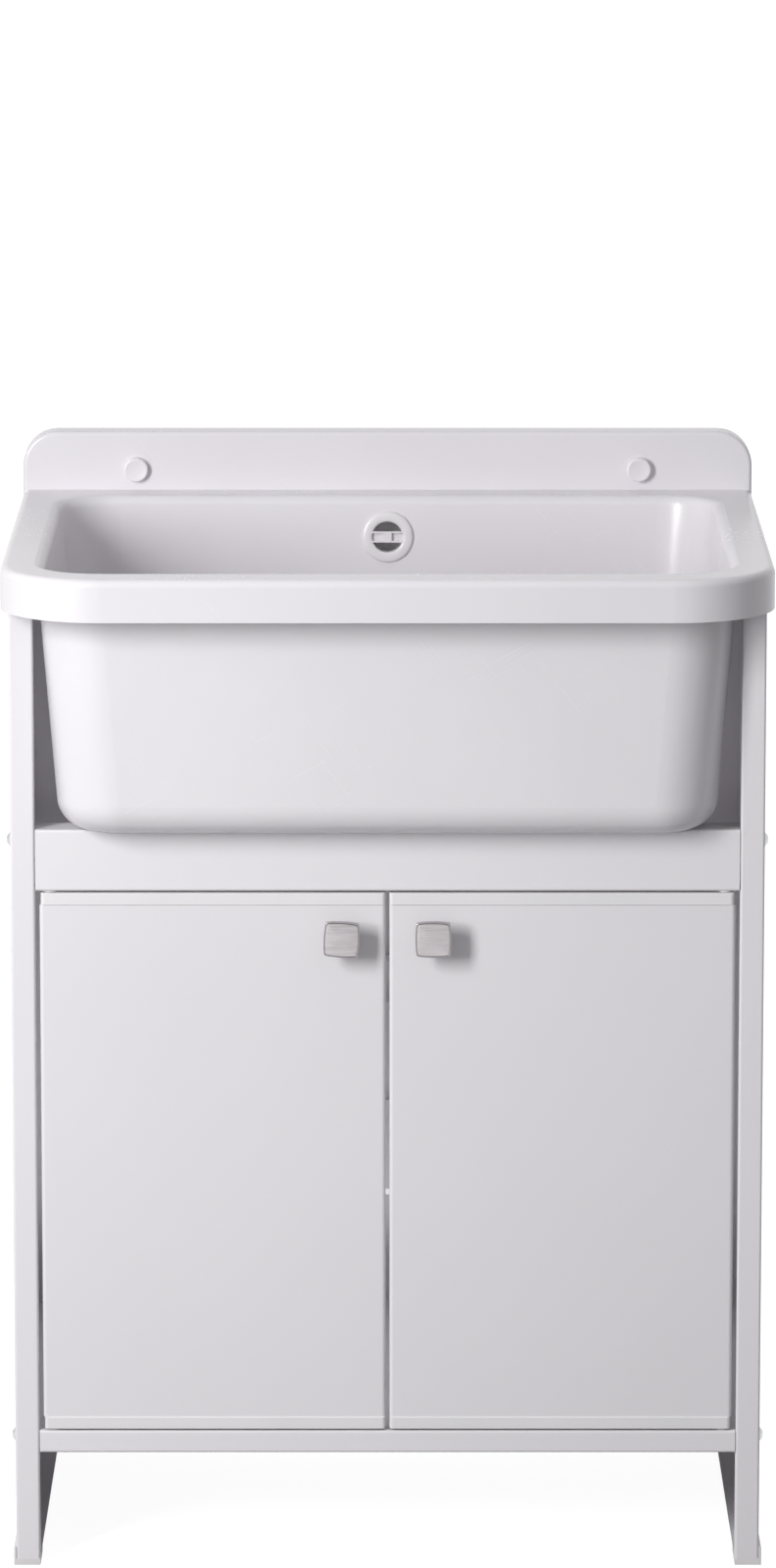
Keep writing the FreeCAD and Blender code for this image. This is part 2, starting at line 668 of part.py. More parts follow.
OVERFLOW_Z = "(rim_height - overflow_drop)"
OVERFLOW_Y = ("(unit_depth / 2 - back_overhang - tub_wall"
              " - back_draft * (overflow_drop - tub_wall) / tub_drop)")
WALL_LEAN = "atan(back_draft / tub_drop)"
ELBOW_FLANGE = "(tub_wall + overflow_gasket_thickness)"
ELBOW_MIDDLE = "(tub_wall + overflow_gasket_thickness + elbow_depth / 2)"


def on_back_wall(piece):
    """Seat a piece made about the origin, its axis along Y, on the inside of the back wall."""
    put(piece, "0", OVERFLOW_Y, OVERFLOW_Z)
    turn(piece, X_AXIS, "-" + WALL_LEAN)
    return piece


def back_wall_place():
    return Placement(Vector(0, number(OVERFLOW_Y), number(OVERFLOW_Z)), Rotation(X_AXIS, -number(WALL_LEAN)))


def ring_sketch(body, name, radii, at):
    """Circles about the body's Y axis."""
    sketch = new_sketch(body, name, "front", at)
    for radius in radii:
        index = sketch.addGeometry(Part.Circle(Vector(0, 0, 0), Z_AXIS, number(radius)), False)
        sketch.addConstraint(Sketcher.Constraint("Coincident", index, 3, -1, 1))
        held = sketch.addConstraint(Sketcher.Constraint("Radius", index, number(radius)))
        sketch.setExpression("Constraints[%d]" % held, formula(radius))
    return sketch


def make_overflow():
    rosette = new_body("overflow_rosette")
    ring = ring_sketch(rosette, "ring_circles", ["rosette_radius", "rosette_opening_radius"], "0")
    pad(rosette, "ring", ring, "rosette_thickness", DOWN_LEFT_FRONT)
    front_rim = lambda e: ends_at(e, "y", "-rosette_thickness") \
        and e.BoundBox.XLength > number("2 * rosette_opening_radius + cut_overrun")
    round_off(rosette, "ring_edge", front_rim, "rosette_edge")
    neck = ring_sketch(rosette, "neck_circles",
                       ["rosette_opening_radius + neck_wall", "rosette_opening_radius"], "0")
    pad(rosette, "neck", neck, "neck_length")
    bar_half = "(rosette_bar_height / 2)"
    reach = "(rosette_opening_radius + neck_wall / 2)"
    web_front = "(-rosette_thickness + rosette_rib_depth - rosette_bar_thickness)"
    web = outline(rosette, "bar_web", "front",
                  [rectangle("-" + reach, "-" + bar_half, reach, bar_half)], web_front)
    pad(rosette, "bar", web, "rosette_bar_thickness")
    rib_low = "(rosette_bar_height / 2 - rosette_rib)"
    ribs = outline(rosette, "bar_ribs", "front",
                   [rectangle("-" + reach, rib_low, reach, bar_half),
                    rectangle("-" + reach, "-" + bar_half, reach, "-" + rib_low)], "(-rosette_thickness)")
    pad(rosette, "ribs", ribs, "rosette_rib_depth")
    post = outline(rosette, "bar_post", "front",
                   [rectangle("-rosette_post_width / 2", "-" + bar_half, "rosette_post_width / 2",
                              bar_half)],
                   "(-rosette_thickness)")
    pad(rosette, "post", post, "rosette_rib_depth")
    keep(on_back_wall(rosette))

    gasket = new_body("overflow_gasket")
    washer = ring_sketch(gasket, "gasket_circles", ["elbow_flange_radius", "overflow_hole_radius"],
                         "tub_wall")
    pad(gasket, "washer", washer, "overflow_gasket_thickness")
    keep(on_back_wall(gasket))

    elbow = new_body("overflow_elbow")
    flange = ring_sketch(elbow, "flange_circle", ["elbow_flange_radius"], ELBOW_FLANGE)
    pad(elbow, "flange", flange, "elbow_flange_thickness")
    barrel = ring_sketch(elbow, "barrel_circle", ["elbow_body_radius"], ELBOW_FLANGE)
    pad(elbow, "barrel", barrel, "elbow_depth")
    spigot = circles(elbow, "spigot_circle", "plan", [("0", ELBOW_MIDDLE)], "spigot_radius")
    pad(elbow, "spigot", spigot, "elbow_reach", DOWN_LEFT_FRONT)
    bore = circles(elbow, "spigot_bore_circle", "plan", [("0", ELBOW_MIDDLE)], "spigot_radius - spigot_wall")
    pocket(elbow, "spigot_bore", bore, "elbow_reach + cut_overrun", DOWN_LEFT_FRONT)
    chamber = ring_sketch(elbow, "chamber_circle", ["rosette_opening_radius + neck_wall + pipe_fit"],
                          ELBOW_FLANGE)
    pocket(elbow, "chamber", chamber, "elbow_depth - elbow_wall")
    keep(on_back_wall(elbow))


def tube_along(points, radius, bend_share):
    """A round bar along straight runs that tangent arcs join, each arc a share of its shorter run."""
    pieces = []
    bends = []
    start = points[0]
    for before, corner, after in zip(points, points[1:], points[2:]):
        arriving = (corner - before).normalize()
        leaving = (after - corner).normalize()
        half_turn = arriving.getAngle(leaving) / 2
        setback = bend_share * min((corner - before).Length, (after - corner).Length)
        bend = setback / math.tan(half_turn)
        bends.append(bend)
        entry = corner - arriving * setback
        exit_point = corner + leaving * setback
        middle = corner + (leaving - arriving).normalize() * (bend / math.cos(half_turn) - bend)
        pieces.append(Part.LineSegment(start, entry).toShape())
        pieces.append(Part.Arc(entry, middle, exit_point).toShape())
        start = exit_point
    pieces.append(Part.LineSegment(start, points[-1]).toShape())
    path = Part.Wire(pieces)
    along = (points[1] - points[0]).normalize()
    section = Part.Wire([Part.Circle(points[0], along, radius).toShape()])
    solid = path.makePipeShell([section], True, False)
    print("tube of radius", round(radius, 2), "has bends of radius", [round(bend, 1) for bend in bends])
    expected = math.pi * radius * radius * path.Length
    if abs(solid.Volume - expected) > expected / 100:
        raise RuntimeError("a tube's volume is not its section times its length")
    return solid


def hose_points():
    """Upper end, corner and lower end of the overflow hose."""
    wall = back_wall_place()
    down = wall.Rotation.multVec(Vector(0, 0, -1))
    top = wall.multVec(Vector(0, number(ELBOW_MIDDLE), number("hose_grip - elbow_reach")))
    level = number(WASTE_TOP + " - inlet_drop")
    corner = top + down * ((top.z - level) / -down.z)
    low = Vector(0, number("drain_set_back + inlet_reach - hose_grip"), level)
    return [top, corner, low]


def make_overflow_hose():
    points = hose_points()
    bend_share = number("hose_bend_share")
    outside = tube_along(points, number("spigot_radius + pipe_fit + hose_wall"), bend_share)
    inside = tube_along(points, number("spigot_radius + pipe_fit"), bend_share)
    hose = doc.addObject("Part::Feature", "overflow_hose")
    hose.Label = "overflow_hose"
    hose.Shape = outside.cut(inside)
    keep(hose)

    inner = number("spigot_radius + 2 * pipe_fit + hose_wall")
    outer = inner + number("clamp_thickness")
    width = number("clamp_width")
    bands = []
    for end, towards in ((points[0], points[1]), (points[2], points[1])):
        along = (towards - end).normalize()
        foot = end + along * number("(hose_grip - clamp_width) / 2")
        band = Part.makeCylinder(outer, width, foot, along).cut(Part.makeCylinder(inner, width, foot, along))
        bands.append(band)
    keep(group("hose_clamps", bands))


# Waste: strainer, body, trap and pipe on the drain's axis

def on_drain(piece, height):
    return put(piece, "0", "drain_set_back", height)


def make_waste():
    hole = "(waste_screw_radius + screw_clearance)"
    dish = "(-strainer_dish)"
    inner_neck = "(strainer_neck_radius - strainer_thickness)"
    strainer = turned("strainer_flange", [
        (hole, dish), ("strainer_neck_radius", dish), ("strainer_neck_radius", "0"),
        ("strainer_radius", "0"),
        ("strainer_radius", "strainer_thickness / 2"),
        ("strainer_radius - strainer_thickness", "strainer_thickness"),
        (inner_neck, "strainer_thickness"), (inner_neck, "strainer_thickness - strainer_dish"),
        (hole, "strainer_thickness - strainer_dish")])
    slot = circles(strainer, "slot_circle", "plan", [("strainer_slot_circle", "0")], "strainer_slot_radius",
                   "(-strainer_dish - cut_overrun)")
    first = pocket(strainer, "slot", slot, "strainer_thickness + 2 * cut_overrun")
    pattern = strainer.newObject("PartDesign::PolarPattern", "slots")
    pattern.Originals = [first]
    pattern.Axis = (slot, ["N_Axis"])
    bind(pattern, Occurrences="strainer_slot_count")
    strainer.Tip = pattern
    doc.recompute()
    keep(on_drain(strainer, STRAINER_SEAT))

    screw = turned("strainer_screw", [
        ("0", "-waste_screw_length"), ("waste_screw_radius", "-waste_screw_length"),
        ("waste_screw_radius", "0"),
        ("waste_screw_head_radius", "0"), ("waste_screw_head_radius", "waste_screw_head_height / 2"),
        ("waste_screw_radius", "waste_screw_head_height"), ("0", "waste_screw_head_height")])
    keep(on_drain(screw, "(" + STRAINER_SEAT + " - strainer_dish + strainer_thickness)"))

    upper = turned("upper_gasket", [
        ("drain_radius", "0"), ("strainer_radius - strainer_thickness", "0"),
        ("strainer_radius - strainer_thickness", "upper_gasket_thickness"),
        ("drain_radius", "upper_gasket_thickness")])
    lower = turned("lower_gasket", [
        ("drain_radius", "-lower_gasket_thickness"),
        ("waste_flange_radius - waste_wall", "-lower_gasket_thickness"),
        ("waste_flange_radius - waste_wall", "0"), ("drain_radius", "0")])
    drain = number("drain_set_back")
    shapes = moved(upper, [Placement(Vector(0, drain, number(BASIN_FLOOR)), Rotation())])
    shapes += moved(lower, [Placement(Vector(0, drain, number(TUB_BOTTOM)), Rotation())])
    keep(group("waste_gaskets", shapes))

    bowl_bore = "(waste_bowl_radius - waste_wall)"
    shell = turned("waste_shell", [
        (bowl_bore, "0"), ("waste_flange_radius", "0"), ("waste_flange_radius", "-waste_flange_thickness"),
        ("waste_bowl_radius", "-waste_flange_thickness - waste_wall"),
        ("waste_bowl_radius", "-waste_bowl_depth + waste_wall"),
        ("tail_radius", "-waste_bowl_depth"), ("tail_radius", "-waste_bowl_depth - tail_length"),
        ("tail_bore_radius", "-waste_bowl_depth - tail_length"),
        ("tail_bore_radius", "-waste_bowl_depth + 2 * waste_wall"),
        (bowl_bore, "-waste_bowl_depth + 3 * waste_wall")])
    bridge = box("waste_bridge", "2 * waste_bowl_radius - waste_wall", "bridge_width", "bridge_height")
    put(bridge, "waste_wall / 2 - waste_bowl_radius", "-bridge_width / 2", "-bridge_drop - bridge_height")
    inlet = cylinder("waste_inlet", "spigot_radius", "inlet_reach - waste_bowl_radius + waste_wall / 2",
                     Y_AXIS)
    put(inlet, "0", "waste_bowl_radius - waste_wall / 2", "-inlet_drop")
    solid = fused("waste_solid", [shell, bridge, inlet])
    thread = cylinder("bridge_thread", "waste_screw_radius + pipe_fit", "bridge_height + 2 * cut_overrun")
    put(thread, "0", "0", "-bridge_drop - bridge_height - cut_overrun")
    bore = cylinder("inlet_bore", "spigot_radius - spigot_wall",
                    "inlet_reach - waste_bowl_radius + 2 * waste_wall", Y_AXIS)
    put(bore, "0", "waste_bowl_radius - 1.5 * waste_wall", "-inlet_drop")
    waste = cut("waste_body", solid, fused("waste_bores", [thread, bore]))
    keep(on_drain(waste, WASTE_TOP))


def coupling_nut(label, pipe, spigot):
    """A round coupling nut: its mouth down, its end wall round the pipe, corners as (radius, height)."""
    thread = "(" + spigot + " + pipe_fit)"
    around = "(" + pipe + " + 2 * pipe_fit)"
    outside = "(" + spigot + " + nut_wall)"
    rise = "(nut_seal + pipe_fit)"
    return turned(label, [
        (thread, "-nut_cover"), (outside, "-nut_cover"), (outside, rise),
        ("(" + outside + " - nut_web / 2)", "(" + rise + " + nut_web)"),
        (around, "(" + rise + " + nut_web)"),
        (around, rise), (thread, rise)])


def seal_ring(label, pipe, spigot):
    return turned(label, [
        ("(" + pipe + " + pipe_fit)", "0"), (spigot, "0"), (spigot, "nut_seal"),
        ("(" + pipe + " + pipe_fit)", "nut_seal")])


def make_trap():
    socket = "(tail_radius + pipe_fit)"
    cup_top = "(cup_cover - trap_height)"
    vessel_bore = "(trap_radius - trap_wall)"
    dip_outside = "(tail_bore_radius + trap_wall)"
    roof = "(-trap_collar_height - trap_shoulder - trap_wall)"
    shell = turned("trap_shell", [
        (socket, "0"), ("trap_collar_radius", "0"), ("trap_collar_radius", "-trap_collar_height"),
        ("trap_radius", "-trap_collar_height - trap_shoulder"), ("trap_radius", "-trap_height"),
        (vessel_bore, "-trap_height"), (vessel_bore, roof), (dip_outside, roof),
        (dip_outside, "-dip_length"),
        ("tail_bore_radius", "-dip_length"), ("tail_bore_radius", "-trap_collar_height"),
        (socket, "-trap_collar_height")])
    outlet = cylinder("trap_outlet", "outlet_radius", "outlet_reach - trap_radius + trap_wall", Y_AXIS)
    put(outlet, "0", "trap_radius - trap_wall", "-outlet_drop")
    solid = fused("trap_solid", [shell, outlet])
    bore = cylinder("outlet_bore", "pipe_radius + pipe_fit",
                    "outlet_reach - trap_radius + 4 * trap_wall", Y_AXIS)
    put(bore, "0", "trap_radius - 3 * trap_wall", "-outlet_drop")
    keep(on_drain(cut("trap_body", solid, bore), TRAP_TOP))

    cup_bore = "(trap_radius + pipe_fit)"
    cup_outside = "(trap_radius + cup_wall)"
    cup_low = "(cup_cover - trap_height - cup_height)"
    cup = turned("trap_cup", [
        ("0", cup_low), ("(" + cup_outside + " - cup_bevel)", cup_low),
        (cup_outside, "(" + cup_low + " + cup_bevel)"), (cup_outside, cup_top), (cup_bore, cup_top),
        (cup_bore, "(" + cup_low + " + cup_bevel + cup_wall)"),
        ("(" + cup_bore + " - cup_bevel)", "(" + cup_low + " + cup_wall)"),
        ("0", "(" + cup_low + " + cup_wall)")])
    keep(on_drain(cup, TRAP_TOP))

    nut = coupling_nut("trap_nut", "tail_radius", "trap_collar_radius")
    keep(on_drain(nut, TRAP_TOP))
    outlet_nut = coupling_nut("outlet_nut", "pipe_radius", "outlet_radius")
    outlet_nut.Placement.Rotation = Rotation(X_AXIS, -90)
    put(outlet_nut, "0", "drain_set_back + outlet_reach", TRAP_TOP + " - outlet_drop")
    keep(outlet_nut)

    inlet_seal = seal_ring("inlet_seal", "tail_radius", "trap_collar_radius")
    outlet_seal = seal_ring("outlet_seal", "pipe_radius", "outlet_radius")
    top = number(TRAP_TOP)
    drain = number("drain_set_back")
    shapes = moved(inlet_seal, [Placement(Vector(0, drain, top), Rotation())])
    mouth = Vector(0, number("drain_set_back + outlet_reach"), number(TRAP_TOP + " - outlet_drop"))
    shapes += moved(outlet_seal, [Placement(mouth, Rotation(X_AXIS, -90))])
    keep(group("trap_seals", shapes))

    pipe_start = "(drain_set_back + outlet_reach - pipe_grip)"
    length = "(" + BACK + " - pipe_wall_gap - " + pipe_start + ")"
    bead = cylinder("pipe_bead", "pipe_radius + pipe_bead_height", "pipe_bead_width", Y_AXIS)
    put(bead, "0", "(" + length + " - pipe_end_length - pipe_bead_width)", "0")
    outside = fused("pipe_outside", [cylinder("pipe_tube", "pipe_radius", length, Y_AXIS), bead])
    inside = cylinder("pipe_inside", "pipe_radius - pipe_wall", "(" + length + " + 2 * cut_overrun)", Y_AXIS)
    put(inside, "0", "-cut_overrun", "0")
    pipe = cut("outlet_pipe", outside, inside)
    keep(put(pipe, "0", pipe_start, TRAP_TOP + " - outlet_drop"))


# Cabinet

def make_side_panels():
    panel = new_body("side_panel_left")
    out = "(-cabinet_width / 2)"
    skin = "(-cabinet_width / 2 + sheet_steel)"
    lip_out = "(stile_width - cabinet_width / 2 - sheet_steel)"
    lip_in = "(stile_width - cabinet_width / 2)"
    back_lip_out = "(back_stile_width - cabinet_width / 2 - sheet_steel)"
    back_lip_in = "(back_stile_width - cabinet_width / 2)"
    front_skin = "(" + CABINET_FRONT + " + sheet_steel)"
    front_lip = "(" + CABINET_FRONT + " + stile_return)"
    back_skin = "(" + CABINET_BACK + " - sheet_steel)"
    back_lip = "(" + CABINET_BACK + " - stile_return)"
    section = outline(panel, "panel_section", "plan", [[
        (out, CABINET_FRONT), (lip_in, CABINET_FRONT), (lip_in, front_lip), (lip_out, front_lip),
        (lip_out, front_skin), (skin, front_skin), (skin, back_skin), (back_lip_out, back_skin),
        (back_lip_out, back_lip), (back_lip_in, back_lip), (back_lip_in, CABINET_BACK),
        (out, CABINET_BACK)]], "foot_height")
    pad(panel, "panel_upright", section, "(" + RIM_UNDER + " - foot_height)")
    folds = lambda e: runs_along(e, "z") and (
        ends_at(e, "y", CABINET_FRONT) or ends_at(e, "y", CABINET_BACK))
    round_off(panel, "panel_folds", folds, "bend_radius")
    beyond = "(" + back_lip_in + " + cut_overrun)"
    below = "(foot_height - cut_overrun)"
    corner = outline(panel, "clipped_corner", "front", [[
        (lip_in, below), (beyond, below),
        (beyond, "(back_stile_start + back_stile_width - stile_width + cut_overrun)"),
        (lip_in, "back_stile_start")]], "(" + back_lip + " - cut_overrun)")
    pocket(panel, "corner_clip", corner, "stile_return + 2 * cut_overrun")
    plate = rectangle(skin, front_skin, lip_in, back_skin)
    pad(panel, "panel_foot_flange", outline(panel, "foot_flange_plan", "plan", [plate], "foot_height"),
        "sheet_steel")
    pad(panel, "panel_top_flange", outline(panel, "top_flange_plan", "plan", [plate],
                                           "(" + RIM_UNDER + " - sheet_steel)"), "sheet_steel")
    holes = circles(panel, "screw_circles", "side", FRAME_SCREWS,
                    "frame_screw_radius + screw_clearance", "(-cabinet_width / 2 - cut_overrun)")
    pocket(panel, "screw_holes", holes, "sheet_steel + 2 * cut_overrun")
    pegs = circles(panel, "peg_circles", "plan",
                   [("stile_width / 2 - cabinet_width / 2", place) for place in FOOT_PEG_Y],
                   "foot_peg_radius + screw_clearance", "(foot_height - cut_overrun)")
    pocket(panel, "peg_holes", pegs, "sheet_steel + 2 * cut_overrun")
    keep(panel)
    keep(mirrored(panel, "side_panel_right"))


FOOT_PEG_Y = ("(" + CABINET_FRONT + " + foot_length / 2)", "(" + CABINET_BACK + " - foot_length / 2)")


def make_feet():
    foot = new_body("foot")
    sole = outline(foot, "sole_plan", "plan", [rectangle("-foot_guard", "0", "stile_width", "foot_length")])
    pad(foot, "sole", sole, "foot_height")
    guard = outline(foot, "guard_plan", "plan", [rectangle("-foot_guard", "0", "0", "foot_length")])
    pad(foot, "guard", guard, "foot_guard_height")
    peg = circles(foot, "peg_plan", "plan", [("stile_width / 2", "foot_length / 2")], "foot_peg_radius",
                  "foot_height")
    pad(foot, "peg", peg, "foot_peg_height")
    guard_edge = lambda e: ends_at(e, "x", "-foot_guard") and not ends_at(e, "z", "0")
    round_off(foot, "guard_edges", guard_edge, "foot_guard / 2")
    half = number(PANEL_OUT)
    front = number(CABINET_FRONT)
    back = number(CABINET_BACK)
    half_turn = Rotation(Z_AXIS, 180)
    places = [Placement(Vector(-half, front, 0), Rotation()),
              Placement(Vector(-half, back - number("foot_length"), 0), Rotation()),
              Placement(Vector(half, front + number("foot_length"), 0), half_turn),
              Placement(Vector(half, back, 0), half_turn)]
    keep(group("corner_feet", moved(foot, places)))


def ear_section(top, stile):
    """A left ear seen from the front: a plate that folds down against the side panel."""
    under = "(" + top + " - sheet_steel)"
    low = "(" + top + " - ear_height)"
    fold = "(-" + SHEET_IN + " + sheet_steel)"
    inner = "(" + stile + " + ear_landing - cabinet_width / 2)"
    return [("-" + SHEET_IN, low), (fold, low), (fold, under), (inner, under), (inner, top),
            ("-" + SHEET_IN, top)]


def screw_holes(member, name, places):
    """Screw holes through both end tabs of a member."""
    holes = circles(member, name + "_circles", "side", places, "frame_screw_radius + screw_clearance")
    pocket(member, name, holes, "(2 * " + SHEET_IN + " + 2 * cut_overrun)", midplane=True)


def make_front_rail():
    rail = new_body("front_rail")
    skin = "(" + CABINET_FRONT + " + sheet_steel)"
    ledge_back = "(" + CABINET_FRONT + " + rail_ledge)"
    section = outline(rail, "rail_section", "side", [[
        (CABINET_FRONT, RAIL_BOTTOM), ("(" + CABINET_FRONT + " + rail_flange)", RAIL_BOTTOM),
        ("(" + CABINET_FRONT + " + rail_flange)", "(" + RAIL_BOTTOM + " + sheet_steel)"),
        (skin, "(" + RAIL_BOTTOM + " + sheet_steel)"), (skin, "(rail_top - sheet_steel)"),
        ("(" + ledge_back + " - sheet_steel)", "(rail_top - sheet_steel)"),
        ("(" + ledge_back + " - sheet_steel)", "(rail_top - rail_lip)"),
        (ledge_back, "(rail_top - rail_lip)"),
        (ledge_back, "rail_top"), (CABINET_FRONT, "rail_top")]])
    pad(rail, "rail_length", section, "2 * " + MEMBER_END, midplane=True)
    folds = lambda e: runs_along(e, "x") and (
        ends_at(e, "y", CABINET_FRONT) or ends_at(e, "y", ledge_back) and ends_at(e, "z", "rail_top"))
    round_off(rail, "rail_folds", folds, "bend_radius")
    ears = outline(rail, "ear_section", "front", both_sides(ear_section("rail_top", "stile_width")),
                   EAR_FRONT)
    pad(rail, "ears", ears, "ear_depth")
    screw_holes(rail, "rail_screw_holes", [(FRAME_SCREW_Y[0], RAIL_SCREW_Z)])
    pivots = circles(rail, "pivot_circles", "plan", [("-" + PIVOT_X, PIVOT_Y), (PIVOT_X, PIVOT_Y)],
                     "bush_radius", "(" + RAIL_BOTTOM + " - cut_overrun)")
    pocket(rail, "pivot_holes", pivots, "sheet_steel + 2 * cut_overrun")
    catches = [(side + "(" + CATCH_X + step + "catch_screw_spacing / 2)", CATCH_SCREW_Y)
               for side in ("-", "") for step in (" - ", " + ")]
    holes = circles(rail, "catch_circles", "plan", catches, "catch_screw_radius + screw_clearance",
                    "(" + RAIL_BOTTOM + " - cut_overrun)")
    pocket(rail, "catch_holes", holes, "sheet_steel + 2 * cut_overrun")
    keep(rail)


CATCH_SCREW_Y = "(" + STRIKE_BACK + " + catch_gap + catch_depth / 2)"


def make_back_rail():
    rail = new_body("back_rail")
    skin = "(" + CABINET_BACK + " - sheet_steel)"
    fold = "(" + CABINET_BACK + " - back_rail_flange)"
    low = "(rail_top - back_rail_height)"
    section = outline(rail, "back_rail_section", "side", [[
        (fold, low), (CABINET_BACK, low), (CABINET_BACK, "rail_top"), (fold, "rail_top"),
        (fold, "(rail_top - sheet_steel)"), (skin, "(rail_top - sheet_steel)"),
        (skin, "(" + low + " + sheet_steel)"), (fold, "(" + low + " + sheet_steel)")]])
    pad(rail, "back_rail_length", section, "2 * " + BACK_MEMBER_END, midplane=True)
    folds = lambda e: runs_along(e, "x") and ends_at(e, "y", CABINET_BACK)
    round_off(rail, "back_rail_folds", folds, "bend_radius")
    ears = outline(rail, "back_ear_section", "front",
                   both_sides(ear_section(BACK_EAR_TOP, "back_stile_width")), EAR_BACK)
    pad(rail, "back_ears", ears, "ear_depth", DOWN_LEFT_FRONT)
    screw_holes(rail, "back_rail_screw_holes", [(FRAME_SCREW_Y[1], BACK_SCREW_Z)])
    keep(rail)


def make_bottom_shelf():
    shelf = new_body("bottom_shelf")
    low = "(shelf_top - shelf_flange)"
    under = "(shelf_top - sheet_steel)"
    skin = "(" + CABINET_FRONT + " + sheet_steel)"
    lip = "(" + CABINET_FRONT + " + shelf_lip)"
    back_skin = "(" + CABINET_BACK + " - sheet_steel)"
    section = outline(shelf, "shelf_section", "side", [[
        (CABINET_FRONT, low), (lip, low), (lip, "(" + low + " + sheet_steel)"),
        (skin, "(" + low + " + sheet_steel)"), (skin, under), (EAR_BACK, under),
        (EAR_BACK, "shelf_top"), (CABINET_FRONT, "shelf_top")]])
    pad(shelf, "shelf_length", section, "2 * " + MEMBER_END, midplane=True)
    front_folds = lambda e: runs_along(e, "x") and ends_at(e, "y", CABINET_FRONT)
    round_off(shelf, "shelf_folds", front_folds, "bend_radius")
    start = "(" + EAR_BACK + " - ear_depth)"
    upstand = outline(shelf, "upstand_section", "side", [[
        (start, under), (CABINET_BACK, under), (CABINET_BACK, "(shelf_top + shelf_upstand)"),
        (back_skin, "(shelf_top + shelf_upstand)"), (back_skin, "shelf_top"), (start, "shelf_top")]])
    pad(shelf, "upstand_length", upstand, "2 * " + BACK_MEMBER_END, midplane=True)
    back_fold = lambda e: runs_along(e, "x") and ends_at(e, "y", CABINET_BACK) and ends_at(e, "z", under)
    round_off(shelf, "upstand_fold", back_fold, "bend_radius")
    fold = "(" + SHEET_IN + " - sheet_steel)"
    tray = outline(shelf, "tray_section", "front", [[
        ("-" + SHEET_IN, low), ("-" + fold, low), ("-" + fold, under), (fold, under), (fold, low),
        (SHEET_IN, low), (SHEET_IN, "shelf_top"), ("-" + SHEET_IN, "shelf_top")]], EAR_FRONT)
    pad(shelf, "tray", tray, "(" + EAR_BACK + " - " + EAR_FRONT + ")")
    screw_holes(shelf, "shelf_screw_holes", [(depth, SHELF_SCREW_Z) for depth in FRAME_SCREW_Y])
    pivots = circles(shelf, "shelf_pivot_circles", "plan", [("-" + PIVOT_X, PIVOT_Y), (PIVOT_X, PIVOT_Y)],
                     "bush_radius", "(" + under + " - cut_overrun)")
    pocket(shelf, "shelf_pivot_holes", pivots, "sheet_steel + 2 * cut_overrun")
    keep(shelf)


def make_frame_fasteners():
    screw = turned("frame_screw", [
        ("0", "-frame_screw_length"), ("frame_screw_radius", "-frame_screw_length"),
        ("frame_screw_radius", "0"),
        ("frame_head_radius", "0"), ("frame_head_radius", "frame_head_rim"),
        ("frame_head_radius / 2", "frame_head_height"), ("0", "frame_head_height")])
    nut = new_body("frame_nut")
    flat = "(frame_nut_width / 2)"
    point = "(frame_nut_width / 2 / cos(30))"
    half_side = "(frame_nut_width / 2 * tan(30))"
    hexagon = [(flat, "-" + half_side), (flat, half_side), ("0", point), ("-" + flat, half_side),
               ("-" + flat, "-" + half_side), ("0", "-" + point)]
    pad(nut, "nut_block", outline(nut, "nut_plan", "plan", [hexagon]), "frame_nut_height")
    thread = circles(nut, "nut_thread", "plan", [("0", "0")], "frame_screw_radius + pipe_fit",
                     "(-cut_overrun)")
    pocket(nut, "nut_bore", thread, "frame_nut_height + 2 * cut_overrun")
    outer = number(PANEL_OUT)
    inner = number(SHEET_IN + " - sheet_steel - frame_nut_height")
    screw_places = []
    nut_places = []
    for side in (-1, 1):
        facing = Rotation(Z_AXIS, X_AXIS * side)
        for depth, height in FRAME_SCREWS:
            screw_places.append(Placement(Vector(side * outer, number(depth), number(height)), facing))
            nut_places.append(Placement(Vector(side * inner, number(depth), number(height)), facing))
    keep(group("frame_screws", moved(screw, screw_places)))
    keep(group("frame_nuts", moved(nut, nut_places)))


def make_hinge_bushes():
    bore = "(pin_radius + pin_running_clearance)"
    bush = turned("hinge_bush", [
        (bore, "0"), ("bush_collar_radius", "0"), ("bush_collar_radius", "bush_collar_height"),
        ("bush_radius", "bush_collar_height"), ("bush_radius", "bush_height"), (bore, "bush_height")])
    across = number(PIVOT_X)
    depth = number(PIVOT_Y)
    over = number(RAIL_BOTTOM + " - bush_collar_height")
    under = number("shelf_top + bush_collar_height")
    places = []
    for side in (-1, 1):
        places.append(Placement(Vector(side * across, depth, over), Rotation()))
        places.append(Placement(Vector(side * across, depth, under), Rotation(X_AXIS, 180)))
    keep(group("hinge_bushes", moved(bush, places)))


# Doors: the left one, and its mirror image

